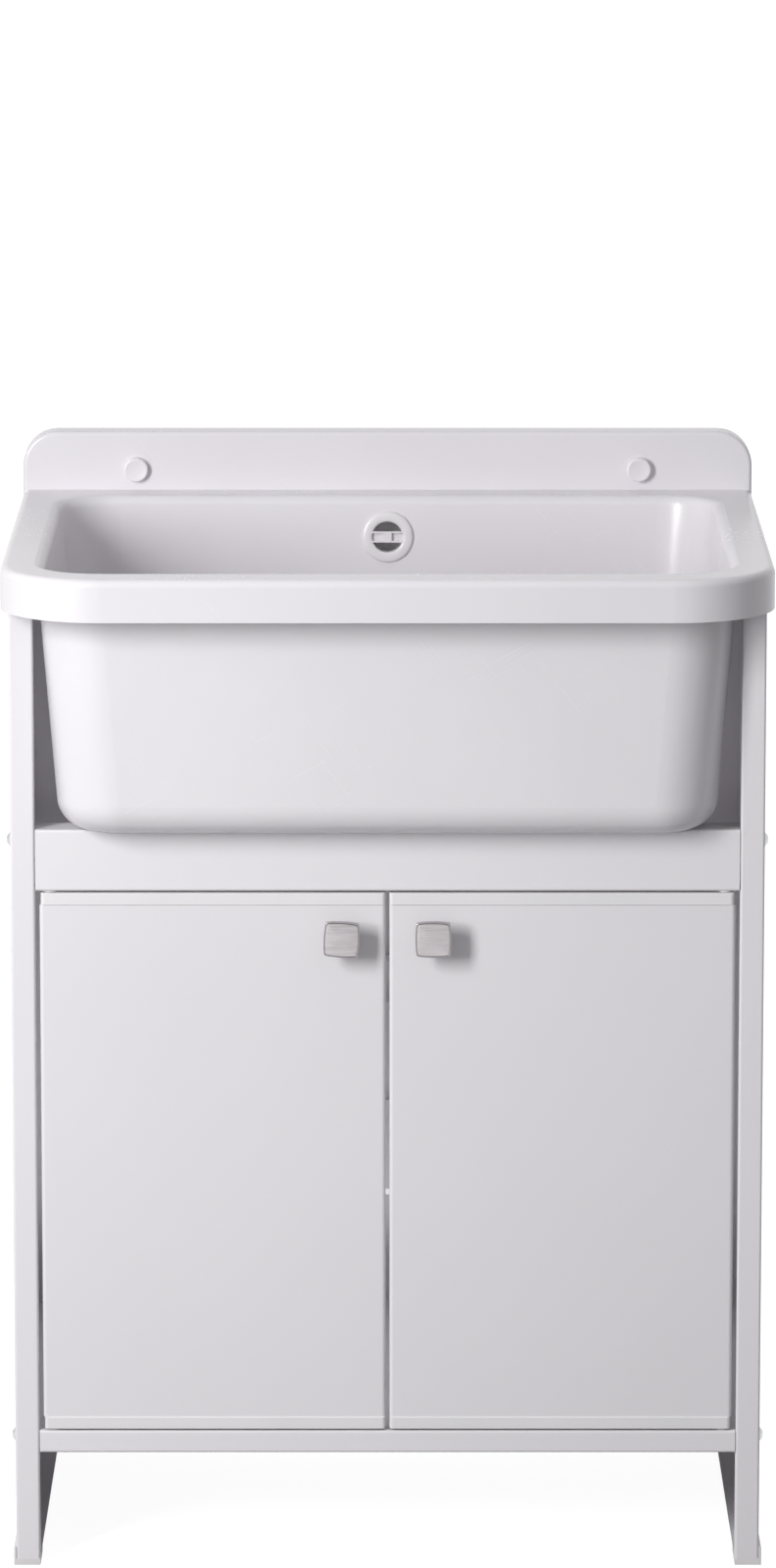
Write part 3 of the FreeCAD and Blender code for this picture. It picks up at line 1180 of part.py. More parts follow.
def make_leaf():
    leaf = new_body("left_door_leaf")
    out = "(-" + DOOR_OUT + ")"
    near = "(-" + DOOR_IN + ")"
    skin = "(" + CABINET_FRONT + " + sheet_steel)"
    lip = "(" + DOOR_BACK + " - sheet_steel)"
    section = outline(leaf, "leaf_section", "plan", [[
        (out, CABINET_FRONT), (near, CABINET_FRONT), (near, DOOR_BACK), (near + " - door_return", DOOR_BACK),
        (near + " - door_return", lip), (near + " - sheet_steel", lip), (near + " - sheet_steel", skin),
        (out + " + sheet_steel", skin), (out + " + sheet_steel", lip), (out + " + door_return", lip),
        (out + " + door_return", DOOR_BACK), (out, DOOR_BACK)]], "(" + DOOR_BOTTOM + " + end_cap_height)")
    pad(leaf, "leaf_height", section, "(" + DOOR_TOP + " - " + DOOR_BOTTOM + " - 2 * end_cap_height)")
    rolled = lambda e: runs_along(e, "z") and ends_at(e, "y", CABINET_FRONT)
    round_off(leaf, "rolled_edges", rolled, "door_edge_radius")
    inside = lambda e: runs_along(e, "z") and ends_at(e, "y", skin)
    round_off(leaf, "rolled_inside", inside, "door_edge_radius - sheet_steel")
    hole = circles(leaf, "knob_circle", "front", [("-" + KNOB_X, KNOB_Z)],
                   "knob_screw_radius + screw_clearance",
                   "(" + CABINET_FRONT + " - cut_overrun)")
    pocket(leaf, "knob_hole", hole, "sheet_steel + 2 * cut_overrun")
    keep(leaf)
    keep(mirrored(leaf, "right_door_leaf"))


def make_end_cap(label, base, towards):
    """An end cap whose plug enters the leaf, its base the leaf's end, towards the way it stands out."""
    cap = new_body(label)
    outward = " + " if towards > 0 else " - "
    out = "(end_cap_inset - " + DOOR_OUT + ")"
    near = "(-" + DOOR_IN + ")"
    face = "(" + CABINET_FRONT + " - end_cap_proud)"
    shown = outline(cap, label + "_plan", "plan", [rectangle(out, face, near, DOOR_BACK)], base)
    pad(cap, label + "_block", shown, "end_cap_height", towards)
    gap = "(sheet_steel + plug_clearance)"
    plug_out = "(" + gap + " - " + DOOR_OUT + ")"
    plug_near = "(-" + DOOR_IN + " - " + gap + ")"
    plug_front = "(" + CABINET_FRONT + " + " + gap + ")"
    plug_back = "(" + DOOR_BACK + " - " + gap + ")"
    plug = outline(cap, label + "_plug_plan", "plan",
                   [rectangle(plug_out, plug_front, plug_near, plug_back)], base)
    pad(cap, label + "_plug", plug, "end_cap_plug", -towards)
    inner_corner = lambda e: runs_along(e, "z") and ends_at(e, "y", plug_front)
    round_off(cap, label + "_plug_corners", inner_corner, "door_edge_radius - sheet_steel")
    corner = lambda e: runs_along(e, "z") and ends_at(e, "y", face)
    round_off(cap, label + "_corners", corner, "door_edge_radius")
    far_end = "(" + base + outward + "end_cap_height)"
    around = lambda e: ends_at(e, "z", far_end) \
        and e.BoundBox.YMin < number(face + " + door_edge_radius / 2")
    round_off(cap, label + "_edges", around, "end_cap_edge")
    before = "(" + face + " - cut_overrun)"
    bevel = outline(cap, label + "_bevel_section", "side", [[
        (before, base), (CABINET_FRONT, base),
        (before, "(" + base + outward + "(end_cap_proud + cut_overrun))")]])
    pocket(cap, label + "_leaf_bevel", bevel, "2 * " + DOOR_OUT, midplane=True)
    seat = circles(cap, label + "_seat_circle", "plan", [("-" + PIVOT_X, PIVOT_Y)], "pin_radius", far_end)
    pocket(cap, label + "_pin_seat", seat, "pin_seat", -towards)
    return cap


def make_end_caps():
    top_base = "(" + DOOR_TOP + " - end_cap_height)"
    low_base = "(" + DOOR_BOTTOM + " + end_cap_height)"
    top = make_end_cap("left_door_top_cap", top_base, UP_RIGHT_BACK)
    rivets = circles(top, "rivet_circles", "front",
                     [("-(" + CATCH_X + step + "strike_rivet_spacing / 2)",
                       STRIKE_Z) for step in (" - ", " + ")],
                     "strike_rivet_radius", "(" + DOOR_BACK + ")")
    pocket(top, "rivet_holes", rivets, "strike_rivet_length", DOWN_LEFT_FRONT)
    low = make_end_cap("left_door_bottom_cap", low_base, DOWN_LEFT_FRONT)
    keep(top)
    keep(mirrored(top, "right_door_top_cap"))
    keep(low)
    keep(mirrored(low, "right_door_bottom_cap"))


def make_hinge_pins():
    pin = turned("hinge_pin", [
        ("0", "-pin_seat"), ("pin_radius", "-pin_seat"), ("pin_radius", "pin_reach - cut_overrun"),
        ("pin_radius - cut_overrun", "pin_reach"), ("0", "pin_reach")])
    across = number(PIVOT_X)
    depth = number(PIVOT_Y)
    for side, name in ((-1, "left_hinge_pins"), (1, "right_hinge_pins")):
        upper = Placement(Vector(side * across, depth, number(DOOR_TOP)), Rotation())
        lower = Placement(Vector(side * across, depth, number(DOOR_BOTTOM)), Rotation(X_AXIS, 180))
        keep(group(name, moved(pin, [upper, lower])))


def knob_shape():
    """A square head with swelling sides and face on a round neck, its axis along -Y from the door's face."""
    half = number("knob_width / 2 - knob_bulge")
    full = number("knob_width / 2")
    neck = number("knob_neck_length")
    thick = number("knob_thickness")
    corners = [Vector(-half, 0, -half), Vector(half, 0, -half), Vector(half, 0, half),
               Vector(-half, 0, half)]
    middles = [Vector(0, 0, -full), Vector(full, 0, 0), Vector(0, 0, full), Vector(-full, 0, 0)]
    arcs = [Part.Arc(corners[step], middles[step], corners[(step + 1) % 4]).toShape() for step in range(4)]
    plan = Part.Face(Part.Wire(arcs))
    plan.translate(Vector(0, -neck, 0))
    head = plan.extrude(Vector(0, -thick, 0))
    upright = [edge for edge in head.Edges if edge.BoundBox.YLength > thick / 2]
    head = head.makeFillet(number("knob_corner_radius"), upright)
    swell = number("knob_bulge")
    ball_radius = (half * half + swell * swell) / (2 * swell)
    ball = Part.makeSphere(ball_radius, Vector(0, ball_radius - neck - thick, 0), Y_AXIS, -90, 90, 360)
    head = head.common(ball)
    stem = Part.makeCylinder(number("knob_neck_radius"), neck + thick / 2, Vector(0, 0, 0), Y_AXIS * -1)
    solid = head.fuse(stem).removeSplitter()
    bore = Part.makeCylinder(number("knob_screw_radius"), number("knob_screw_bite"), Vector(0, 0, 0),
                             Y_AXIS * -1)
    return solid.cut(bore)


def make_knobs():
    shape = knob_shape()
    screw = turned("knob_screw", [
        ("0", "-knob_screw_bite"), ("knob_screw_radius", "-knob_screw_bite"),
        ("knob_screw_radius", "sheet_steel"),
        ("knob_screw_head_radius", "sheet_steel"),
        ("knob_screw_head_radius", "sheet_steel + knob_screw_head_height / 2"),
        ("knob_screw_radius", "sheet_steel + knob_screw_head_height"),
        ("0", "sheet_steel + knob_screw_head_height")])
    for side, hand in ((-1, "left"), (1, "right")):
        face = Vector(side * number(KNOB_X), number(CABINET_FRONT), number(KNOB_Z))
        knob = doc.addObject("Part::Feature", hand + "_knob")
        knob.Label = hand + "_knob"
        knob.Shape = shape
        twist = number("left_knob_turn") if side < 0 else 0
        knob.Placement = Placement(face, Rotation(Y_AXIS, twist))
        keep(knob)
        keep(group(hand + "_knob_screw", moved(screw, [Placement(face, Rotation(X_AXIS, -90))])))


def make_catches():
    housing = box("catch_block", "catch_width", "catch_depth", "catch_height")
    cavity = box("catch_cavity", "magnet_width", "magnet_depth", "magnet_height")
    put(cavity, "catch_width / 2 - magnet_width / 2", "0", "catch_height / 2 - magnet_height / 2")
    thread = "(catch_screw_radius)"
    tools = [cavity]
    for name, sign in (("near", " - "), ("far", " + ")):
        hole = cylinder("catch_hole_" + name, thread, "catch_screw_length")
        put(hole, "catch_width / 2" + sign + "catch_screw_spacing / 2", "catch_depth / 2",
            "catch_height + sheet_steel - catch_screw_length")
        tools.append(hole)
    housing = cut("catch_housing", housing, fused("catch_cuts", tools))
    magnet = box("magnet", "magnet_width", "magnet_depth", "magnet_height")
    screw = turned("catch_screw", [
        ("0", "-catch_screw_length"), ("catch_screw_radius", "-catch_screw_length"),
        ("catch_screw_radius", "0"),
        ("catch_head_radius", "0"), ("catch_head_radius", "catch_head_height / 2"),
        ("catch_screw_radius", "catch_head_height"), ("0", "catch_head_height")])
    doc.recompute()
    front = number(STRIKE_BACK + " + catch_gap")
    low = number(RAIL_BOTTOM + " - catch_height")
    width = number("catch_width")
    near = number("catch_from_middle")
    starts = (-near - width, near)
    keep(group("catch_housings", moved(housing,
                                       [Placement(Vector(x, front, low), Rotation()) for x in starts])))
    inset = number("catch_width / 2 - magnet_width / 2")
    rise = number("catch_height / 2 - magnet_height / 2")
    keep(group("catch_magnets", moved(
        magnet, [Placement(Vector(x + inset, front, low + rise), Rotation()) for x in starts])))
    half = number("catch_screw_spacing / 2")
    over = number(RAIL_BOTTOM + " + sheet_steel")
    places = [Placement(Vector(x + width / 2 + step * half, number(CATCH_SCREW_Y), over), Rotation())
              for x in starts for step in (-1, 1)]
    keep(group("catch_screws", moved(screw, places)))


def make_strikes():
    plate = new_body("left_strike_plate")
    back = outline(plate, "strike_plan", "front", [rectangle(
        "-" + CATCH_X + " - strike_width / 2", STRIKE_Z + " - strike_height / 2",
        "-" + CATCH_X + " + strike_width / 2", STRIKE_Z + " + strike_height / 2")], "(" + DOOR_BACK + ")")
    pad(plate, "strike", back, "strike_thickness")
    centres = [("-(" + CATCH_X + step + "strike_rivet_spacing / 2)", STRIKE_Z) for step in (" - ", " + ")]
    holes = circles(plate, "strike_circles", "front", centres, "strike_rivet_radius",
                    "(" + DOOR_BACK + " - cut_overrun)")
    pocket(plate, "strike_holes", holes, "strike_thickness + 2 * cut_overrun")
    keep(plate)
    keep(mirrored(plate, "right_strike_plate"))
    rivet = turned("strike_rivet", [
        ("0", "-strike_rivet_length"), ("strike_rivet_radius", "-strike_rivet_length"),
        ("strike_rivet_radius", "strike_thickness"), ("0", "strike_thickness")])
    half = number("strike_rivet_spacing / 2")
    for side, hand in ((-1, "left"), (1, "right")):
        places = [Placement(Vector(side * number(CATCH_X) + step * half, number(DOOR_BACK),
                                   number(STRIKE_Z)),
                            Rotation(X_AXIS, -90)) for step in (-1, 1)]
        keep(group(hand + "_strike_rivets", moved(rivet, places)))


make_sink_tub()
make_screw_caps()
make_overflow()
make_overflow_hose()
make_waste()
make_trap()
make_side_panels()
make_feet()
make_front_rail()
make_back_rail()
make_bottom_shelf()
make_frame_fasteners()
make_hinge_bushes()
make_leaf()
make_end_caps()
make_hinge_pins()
make_knobs()
make_catches()
make_strikes()
doc.recompute()

# Nothing is written until every object is sound

for thing in doc.Objects:
    if "Invalid" in thing.State or "Error" in thing.State:
        raise RuntimeError("%s is in state %s" % (thing.Label, thing.State))
for piece in nodes:
    if piece.Shape.isNull() or not piece.Shape.isValid() or not piece.Shape.Solids:
        raise RuntimeError(piece.Label + " has no sound shape")

os.makedirs("parts", exist_ok=True)
for piece in nodes:
    piece.Shape.exportStep("parts/%s.step" % piece.Label)
    print(piece.Label, len(piece.Shape.Solids), "solids", round(piece.Shape.Volume / 1000, 1), "cm3")
print(len(nodes), "nodes")
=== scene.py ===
# %% [markdown]
# # Dressing a sink cabinet
# The solids of this unit come from its CAD model: a moulded tub on a cabinet of folded, painted
# steel. They already have the right shapes and sizes. What they lack is what the eye reads
# first: the finish of each material, a few small forms that catch the light, and the light
# itself. The lesson goes through these one at a time.

# %% Load the solids as a fixed frame
import math

import bmesh
import bpy
import numpy as np
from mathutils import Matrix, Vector


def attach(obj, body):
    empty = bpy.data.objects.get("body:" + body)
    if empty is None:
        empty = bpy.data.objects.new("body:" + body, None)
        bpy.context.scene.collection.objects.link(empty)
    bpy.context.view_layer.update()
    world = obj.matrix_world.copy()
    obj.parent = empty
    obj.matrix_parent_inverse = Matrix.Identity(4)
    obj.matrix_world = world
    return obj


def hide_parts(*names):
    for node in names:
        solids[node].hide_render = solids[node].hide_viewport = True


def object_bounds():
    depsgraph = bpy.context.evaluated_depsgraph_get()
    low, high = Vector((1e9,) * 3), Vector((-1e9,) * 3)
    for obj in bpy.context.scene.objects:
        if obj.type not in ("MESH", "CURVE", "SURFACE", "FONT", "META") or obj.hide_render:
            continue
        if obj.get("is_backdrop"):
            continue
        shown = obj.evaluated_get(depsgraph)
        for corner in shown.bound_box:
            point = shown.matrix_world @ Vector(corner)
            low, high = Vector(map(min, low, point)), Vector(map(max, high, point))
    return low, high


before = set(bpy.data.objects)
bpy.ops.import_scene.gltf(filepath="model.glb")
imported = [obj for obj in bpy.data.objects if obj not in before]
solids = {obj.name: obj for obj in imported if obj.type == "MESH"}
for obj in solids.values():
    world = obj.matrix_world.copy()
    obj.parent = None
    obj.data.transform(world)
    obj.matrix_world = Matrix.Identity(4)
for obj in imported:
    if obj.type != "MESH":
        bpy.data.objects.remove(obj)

cad_low, cad_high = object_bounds()
print("solids:", len(solids), "box:", [round(c, 3) for c in cad_high - cad_low])

# %% [markdown]
# ## The camera
# The picture was taken from far away with a long lens, from a little above, looking down on the
# rim. A long lens keeps the upright edges nearly parallel. Moving closer with a short lens would
# make the legs lean together, so the distance is as much a part of the view as the angle.

# %% Stand the camera where the picture was taken
CAMERA_PLACE = (0.0004, -6.0886, 1.7332)
CAMERA_PITCH = math.radians(79.433)
LENS_MM = 177.75
SEES_AS_FAR_AS = 200.0

camera = bpy.data.objects.new("camera", bpy.data.cameras.new("camera"))
camera.location = CAMERA_PLACE
camera.rotation_euler = (CAMERA_PITCH, 0, 0)
camera.data.lens = LENS_MM
camera.data.clip_end = SEES_AS_FAR_AS
bpy.context.scene.collection.objects.link(camera)
bpy.context.scene.camera = camera
print("camera height above the floor:", CAMERA_PLACE[2])

# %% [markdown]
# ## Small helpers for materials
# A material is a little network of nodes. Making each node by hand takes five lines, and those
# lines hide what the material is. So one helper adds a node with its settings and its inputs,
# and a few shorter ones stand on it for the nodes that every finish uses. Each finish below then
# reads as a list of what it is made of.

# %% A node with its settings and inputs in one call
def add(tree, kind, settings=None, **inputs):
    """Add a node. An input is a plain value, or the output socket that feeds it.

    An input's name is the socket's, with underscores for spaces. A socket that shares its name
    with others goes by its number, as in _0.
    """
    node = tree.nodes.new(kind)
    for name, value in (settings or {}).items():
        setattr(node, name, value)
    for name, value in inputs.items():
        key = int(name[1:]) if name[0] == "_" else name.replace("_", " ")
        socket = node.inputs[key]
        if isinstance(value, bpy.types.NodeSocket):
            tree.links.new(value, socket)
        else:
            socket.default_value = value
    return node


def grey(red, green, blue):
    """A display colour of 0 to 255 as the linear colour that a shader wants, by the sRGB curve."""
    display = np.array([red, green, blue]) / 255
    linear = np.where(display <= 0.04045, display / 12.92, ((display + 0.055) / 1.055) ** 2.4)
    return (*map(float, linear), 1.0)


print("paper white in linear light:", [round(c, 3) for c in grey(235, 232, 235)[:3]])

# %% The nodes that every finish uses
def maths(tree, operation, first, second):
    """The result of an operation on two numbers."""
    return add(tree, "ShaderNodeMath", {"operation": operation}, _0=first, _1=second).outputs[0]


def stretch(tree, where, factors):
    """A place with each of its coordinates multiplied by a factor of its own."""
    return add(tree, "ShaderNodeVectorMath", {"operation": "MULTIPLY"}, _0=where,
               _1=factors).outputs[0]


def noise(tree, where, scale, **settings):
    """Cloudy noise between 0 and 1."""
    return add(tree, "ShaderNodeTexNoise", Vector=where, Scale=scale, **settings).outputs["Fac"]


def ramp(tree, value, span=(0.0, 1.0), onto=(0.0, 1.0)):
    """A value moved from one range onto another, and held at its ends."""
    return add(tree, "ShaderNodeMapRange", Value=value, From_Min=span[0], From_Max=span[1],
               To_Min=onto[0], To_Max=onto[1]).outputs["Result"]


def mix(tree, factor, low, high):
    """The colour low where the factor is 0, high where it is 1, and a blend between."""
    return add(tree, "ShaderNodeMix", {"data_type": "RGBA"}, Factor=factor, _6=low,
               _7=high).outputs[2]


print("helpers:", [helper.__name__ for helper in (add, maths, stretch, noise, ramp, mix)])

# %% [markdown]
# ## Effects that several finishes share
# Powder coat, moulded plastic and plated metal differ in colour and gloss, but the small flaws
# that make them look real are of a few kinds: slow drifts of tone, low waves in the skin, fine
# rub marks, drawn grain, and dust that gathers near the floor. Each kind is built once as a
# node group that measures in metres on the object, so that it has the same scale on every piece.

# %% An empty group with named sockets
def group(name, inputs, outputs):
    """A node group, the sockets it is given and the sockets for its results, by name and kind."""
    tree = bpy.data.node_groups.new(name, "ShaderNodeTree")
    for direction, sockets in (("INPUT", inputs), ("OUTPUT", outputs)):
        for label, kind in sockets.items():
            tree.interface.new_socket(label, in_out=direction, socket_type="NodeSocket" + kind)
    given = tree.nodes.new("NodeGroupInput").outputs
    results = tree.nodes.new("NodeGroupOutput").inputs
    return tree, given, results


def shared(tree, effect, **inputs):
    """Put a group into a material and return its outputs."""
    return add(tree, "ShaderNodeGroup", {"node_tree": effect}, **inputs).outputs


print("groups so far:", len(bpy.data.node_groups))

# %% [markdown]
# ### Tone drift
# No sprayed or moulded white is one white. The eye takes a perfectly even colour for a drawing,
# so the tone wanders between two near ones. A slow noise does it, cut to its middle range so
# that both tones are reached. The same mask can drift the gloss, so it is handed out as well.

# %% Tone drift: a colour that wanders slowly between two tones
DRIFT_SPAN = (0.35, 0.65)

drift, given, results = group("tone drift", {"Vector": "Vector", "Tone": "Color",
                                             "Other Tone": "Color", "Per Metre": "Float"},
                              {"Color": "Color", "Mask": "Float"})
slow = noise(drift, given["Vector"], given["Per Metre"], Detail=3.0, Roughness=0.5)
drifted = ramp(drift, slow, DRIFT_SPAN)
drift.links.new(mix(drift, drifted, given["Tone"], given["Other Tone"]), results["Color"])
drift.links.new(drifted, results["Mask"])
print("tone drift:", len(drift.nodes), "nodes")

# %% [markdown]
# ### Skin waves
# Paint and plastic set with a low swell and a finer ripple on top of it. Two noises are added,
# the second one finer by a fixed factor and weaker by a share that each finish chooses.

# %% Skin waves: the low swell of a sprayed or moulded skin, with a finer ripple on it
RIPPLES_PER_SWELL = 3.7

waves, given, results = group("skin waves", {"Vector": "Vector", "Per Metre": "Float",
                                             "Ripple": "Float"}, {"Height": "Float"})
swell = noise(waves, given["Vector"], given["Per Metre"], Detail=1.0)
finer = maths(waves, "MULTIPLY", given["Per Metre"], RIPPLES_PER_SWELL)
ripple = noise(waves, given["Vector"], finer, Detail=2.0)
height = maths(waves, "ADD", swell, maths(waves, "MULTIPLY", ripple, given["Ripple"]))
waves.links.new(height, results["Height"])
print("skin waves:", len(waves.nodes), "nodes")

# %% [markdown]
# ### Drawn grain
# A belt or a die leaves streaks that are long one way and thin the other two. Noise becomes
# streaks when the place is squeezed first: a small factor along the streak, large ones across.

# %% Drawn grain: long thin streaks, as a belt or a die leaves them
grain, given, results = group("drawn grain", {"Vector": "Vector", "Squeeze": "Vector"},
                              {"Streaks": "Float"})
squeezed = stretch(grain, given["Vector"], given["Squeeze"])
grain.links.new(noise(grain, squeezed, 1.0, Detail=4.0, Roughness=0.6), results["Streaks"])
print("drawn grain:", len(grain.nodes), "nodes")

# %% [markdown]
# ### Rub marks
# Cloths and hands leave faint hair lines that cross, in some patches and not in others. Each
# direction is a turned and squeezed noise of which only the crests are kept, and a slow noise
# picks the patches. The marks change the gloss alone, so they show only where light glances off.

# %% Rub marks: faint hair lines in two directions, where cloths and hands have passed
HAIR_ANGLES = (0.5, -0.9)
HAIR_SQUEEZE = (14, 300, 900)
HAIR_SPAN = (0.62, 0.72)
RUBBED_PATCHES_PER_METRE = 9.0
RUBBED_PATCH_SPAN = (0.45, 0.65)

rubs, given, results = group("rub marks", {"Vector": "Vector", "Amount": "Float"},
                             {"Mask": "Float"})
hairs = []
for angle in HAIR_ANGLES:
    turned_place = add(rubs, "ShaderNodeVectorRotate", {"rotation_type": "Y_AXIS"},
                       Vector=given["Vector"], Angle=angle).outputs[0]
    crests = noise(rubs, stretch(rubs, turned_place, HAIR_SQUEEZE), 1.0, Detail=2.0)
    hairs.append(ramp(rubs, crests, HAIR_SPAN))
patches = noise(rubs, given["Vector"], RUBBED_PATCHES_PER_METRE, Detail=1.0)
marks = maths(rubs, "MULTIPLY", maths(rubs, "MAXIMUM", *hairs),
              ramp(rubs, patches, RUBBED_PATCH_SPAN))
rubs.links.new(maths(rubs, "MULTIPLY", marks, given["Amount"]), results["Mask"])
print("rub marks:", len(rubs.nodes), "nodes")

# %% [markdown]
# ### Floor dust
# The lowest part of anything that stands on a floor is a little dusty. The mask is the height
# over a reach, roughened by noise so that it has no straight edge, and turned upside down.

# %% Floor dust: a mask that is strong at the floor and gone within a hand's height
DUST_CLOUDS_PER_METRE = 70.0
DUST_SPAN = (0.4, 1.3)

dust, given, results = group("floor dust", {"Vector": "Vector", "Reach": "Float"},
                             {"Mask": "Float"})
over_floor = add(dust, "ShaderNodeSeparateXYZ", Vector=given["Vector"]).outputs["Z"]
clouds = noise(dust, given["Vector"], DUST_CLOUDS_PER_METRE, Detail=4.0)
ragged = maths(dust, "ADD", maths(dust, "DIVIDE", over_floor, given["Reach"]), clouds)
dust.links.new(ramp(dust, ragged, DUST_SPAN, onto=(1.0, 0.0)), results["Mask"])
print("floor dust:", len(dust.nodes), "nodes")

# %% [markdown]
# ## The materials
# Every finish starts from the same three things: the place on the object, in metres, a shader,
# and a bump node. A bump node only bends the light, which suits skins whose waves are a few
# hundredths of a millimetre high. Anything that would show in outline is made as a real shape.

# %% The start of every finish
finishes = {}


def finish(slot, **constants):
    """Start a material: its tree, its shader with constants on it, and the place on the object."""
    material = bpy.data.materials.new(slot + "_finish")
    material.use_nodes = True
    finishes[slot] = material
    tree = material.node_tree
    shader = tree.nodes["Principled BSDF"]
    for name, value in constants.items():
        shader.inputs[name.replace("_", " ")].default_value = value
    return tree, shader, tree.nodes.new("ShaderNodeTexCoord").outputs["Object"]


def colour(tree, shader, source):
    """Feed the shader's colour."""
    tree.links.new(source, shader.inputs["Base Color"])


def vary_gloss(tree, shader, mask, roughness, duller_by):
    """Let the roughness rise by a step as the mask goes from 0 to 1."""
    tree.links.new(ramp(tree, mask, onto=(roughness, roughness + duller_by)),
                   shader.inputs["Roughness"])


def bump(tree, shader, height, deep):
    """Bend the light over a height map whose full range stands deep metres tall."""
    node = add(tree, "ShaderNodeBump", Height=height, Distance=deep)
    tree.links.new(node.outputs["Normal"], shader.inputs["Normal"])


# %% [markdown]
# ### Moulded resin
# The tub is one moulding of white resin with a half gloss. Its colour is even, and what tells
# it from paint is how soft the light lies on it: broad highlights, with a slight swell where the
# skin shrank as it set. Fine rub marks dull the gloss a little, as cleaning does. The two screw
# covers are the same white, a little duller and with less of a swell.

# %% Tub and white covers
RESIN_DRIFTS_PER_METRE = 6.0
RESIN_SWELLS_PER_METRE = 60.0
RESIN_RIPPLE = 0.12
RESIN_RUBS = 0.2
RESIN_DULLER_BY = 0.12


def moulded_resin(slot, tone, other_tone, roughness, swell_depth):
    """White resin: an even tone, a broad highlight, a slow swell and faint rub marks."""
    tree, shader, here = finish(slot, IOR=1.5)
    tones = shared(tree, drift, Vector=here, Tone=tone, Other_Tone=other_tone,
                   Per_Metre=RESIN_DRIFTS_PER_METRE)
    colour(tree, shader, tones["Color"])
    marks = shared(tree, rubs, Vector=here, Amount=RESIN_RUBS)
    vary_gloss(tree, shader, marks["Mask"], roughness, RESIN_DULLER_BY)
    skin = shared(tree, waves, Vector=here, Per_Metre=RESIN_SWELLS_PER_METRE, Ripple=RESIN_RIPPLE)
    bump(tree, shader, skin["Height"], swell_depth)


moulded_resin("tub_resin", grey(225, 222, 226), grey(222, 219, 223), roughness=0.26,
              swell_depth=0.00012)
moulded_resin("cap_plastic", grey(225, 222, 225), grey(222, 219, 222), roughness=0.3,
              swell_depth=0.00004)
print("made:", list(finishes))

# %% [markdown]
# ### Powder coat
# The panels, rails and doors are folded sheet, sprayed with powder that melts into a skin. Near
# by, the skin has the low swell called orange peel, about two millimetres from crest to crest.
# It is the same paint on all the sheet, so one function makes it with two tones. A little dust
# lies on the last few centimetres of the legs.

# %% Painted steel
PAINT_DRIFTS_PER_METRE = 4.0
PEEL_PER_METRE = 450.0
PEEL_RIPPLE = 0.25
PEEL_DEPTH = 0.000025
PAINT_RUBS = 0.35
PAINT_DULLER_BY = 0.1
PAINT_DUST_REACH = 0.03
PAINT_DUST = 0.04


def dusted(tree, here, clean, dust_tone, reach, amount):
    """A colour with some dust on it near the floor."""
    low = shared(tree, dust, Vector=here, Reach=reach)
    return mix(tree, maths(tree, "MULTIPLY", low["Mask"], amount), clean, dust_tone)


def powder_coat(slot, tone, other_tone, roughness):
    """Powder coat: two near tones, orange peel, faint rub marks and a little dust at the floor."""
    tree, shader, here = finish(slot, IOR=1.45)
    tones = shared(tree, drift, Vector=here, Tone=tone, Other_Tone=other_tone,
                   Per_Metre=PAINT_DRIFTS_PER_METRE)
    colour(tree, shader, dusted(tree, here, tones["Color"], grey(150, 143, 134),
                                PAINT_DUST_REACH, PAINT_DUST))
    marks = shared(tree, rubs, Vector=here, Amount=PAINT_RUBS)
    vary_gloss(tree, shader, marks["Mask"], roughness, PAINT_DULLER_BY)
    peel = shared(tree, waves, Vector=here, Per_Metre=PEEL_PER_METRE, Ripple=PEEL_RIPPLE)
    bump(tree, shader, peel["Height"], PEEL_DEPTH)


powder_coat("painted_sheet", grey(227, 224, 228), grey(224, 222, 225), roughness=0.42)
powder_coat("painted_door", grey(225, 222, 226), grey(222, 220, 223), roughness=0.36)
print("made:", list(finishes))

# %% [markdown]
# ### Plain mouldings
# End caps, feet, bushes, catches, trap and waste are injection mouldings. They are duller than
# the tub, with a fine spark-eroded texture that the mould gave them. The same function makes
# them all, and only tone and gloss differ.

# %% Mouldings of matt plastic
PLASTIC_DRIFTS_PER_METRE = 15.0
PLASTIC_GRAINS_PER_METRE = 1500.0
PLASTIC_RIPPLE = 0.5
PLASTIC_GRAIN_DEPTH = 0.00002
PLASTIC_DULLER_BY = 0.08
PLASTIC_DUST_REACH = 0.02
PLASTIC_DUST = 0.05


def plain_moulding(slot, tone, other_tone, roughness):
    """Moulded plastic: an even tone with a fine matt texture, and dust where it meets the floor."""
    tree, shader, here = finish(slot, IOR=1.49)
    tones = shared(tree, drift, Vector=here, Tone=tone, Other_Tone=other_tone,
                   Per_Metre=PLASTIC_DRIFTS_PER_METRE)
    colour(tree, shader, dusted(tree, here, tones["Color"], grey(140, 132, 122),
                                PLASTIC_DUST_REACH, PLASTIC_DUST))
    vary_gloss(tree, shader, tones["Mask"], roughness, PLASTIC_DULLER_BY)
    skin = shared(tree, waves, Vector=here, Per_Metre=PLASTIC_GRAINS_PER_METRE,
                  Ripple=PLASTIC_RIPPLE)
    bump(tree, shader, skin["Height"], PLASTIC_GRAIN_DEPTH)


plain_moulding("door_cap_plastic", grey(226, 224, 226), grey(222, 221, 222), roughness=0.42)
plain_moulding("foot_plastic", grey(224, 222, 223), grey(215, 213, 213), roughness=0.5)
plain_moulding("bush_plastic", grey(222, 221, 216), grey(214, 213, 207), roughness=0.4)
plain_moulding("catch_plastic", grey(220, 219, 220), grey(213, 212, 213), roughness=0.45)
plain_moulding("grey_plastic", grey(240, 239, 240), grey(235, 234, 235), roughness=0.38)
print("made:", list(finishes))

# %% [markdown]
# ### Rubber and hose
# Seals are black rubber, which is nearly all roughness. The hose is soft grey vinyl with a
# little sheen. Its ribs are a real shape, made further down, so this finish only needs the
# fine bloom that soft plastics grow.

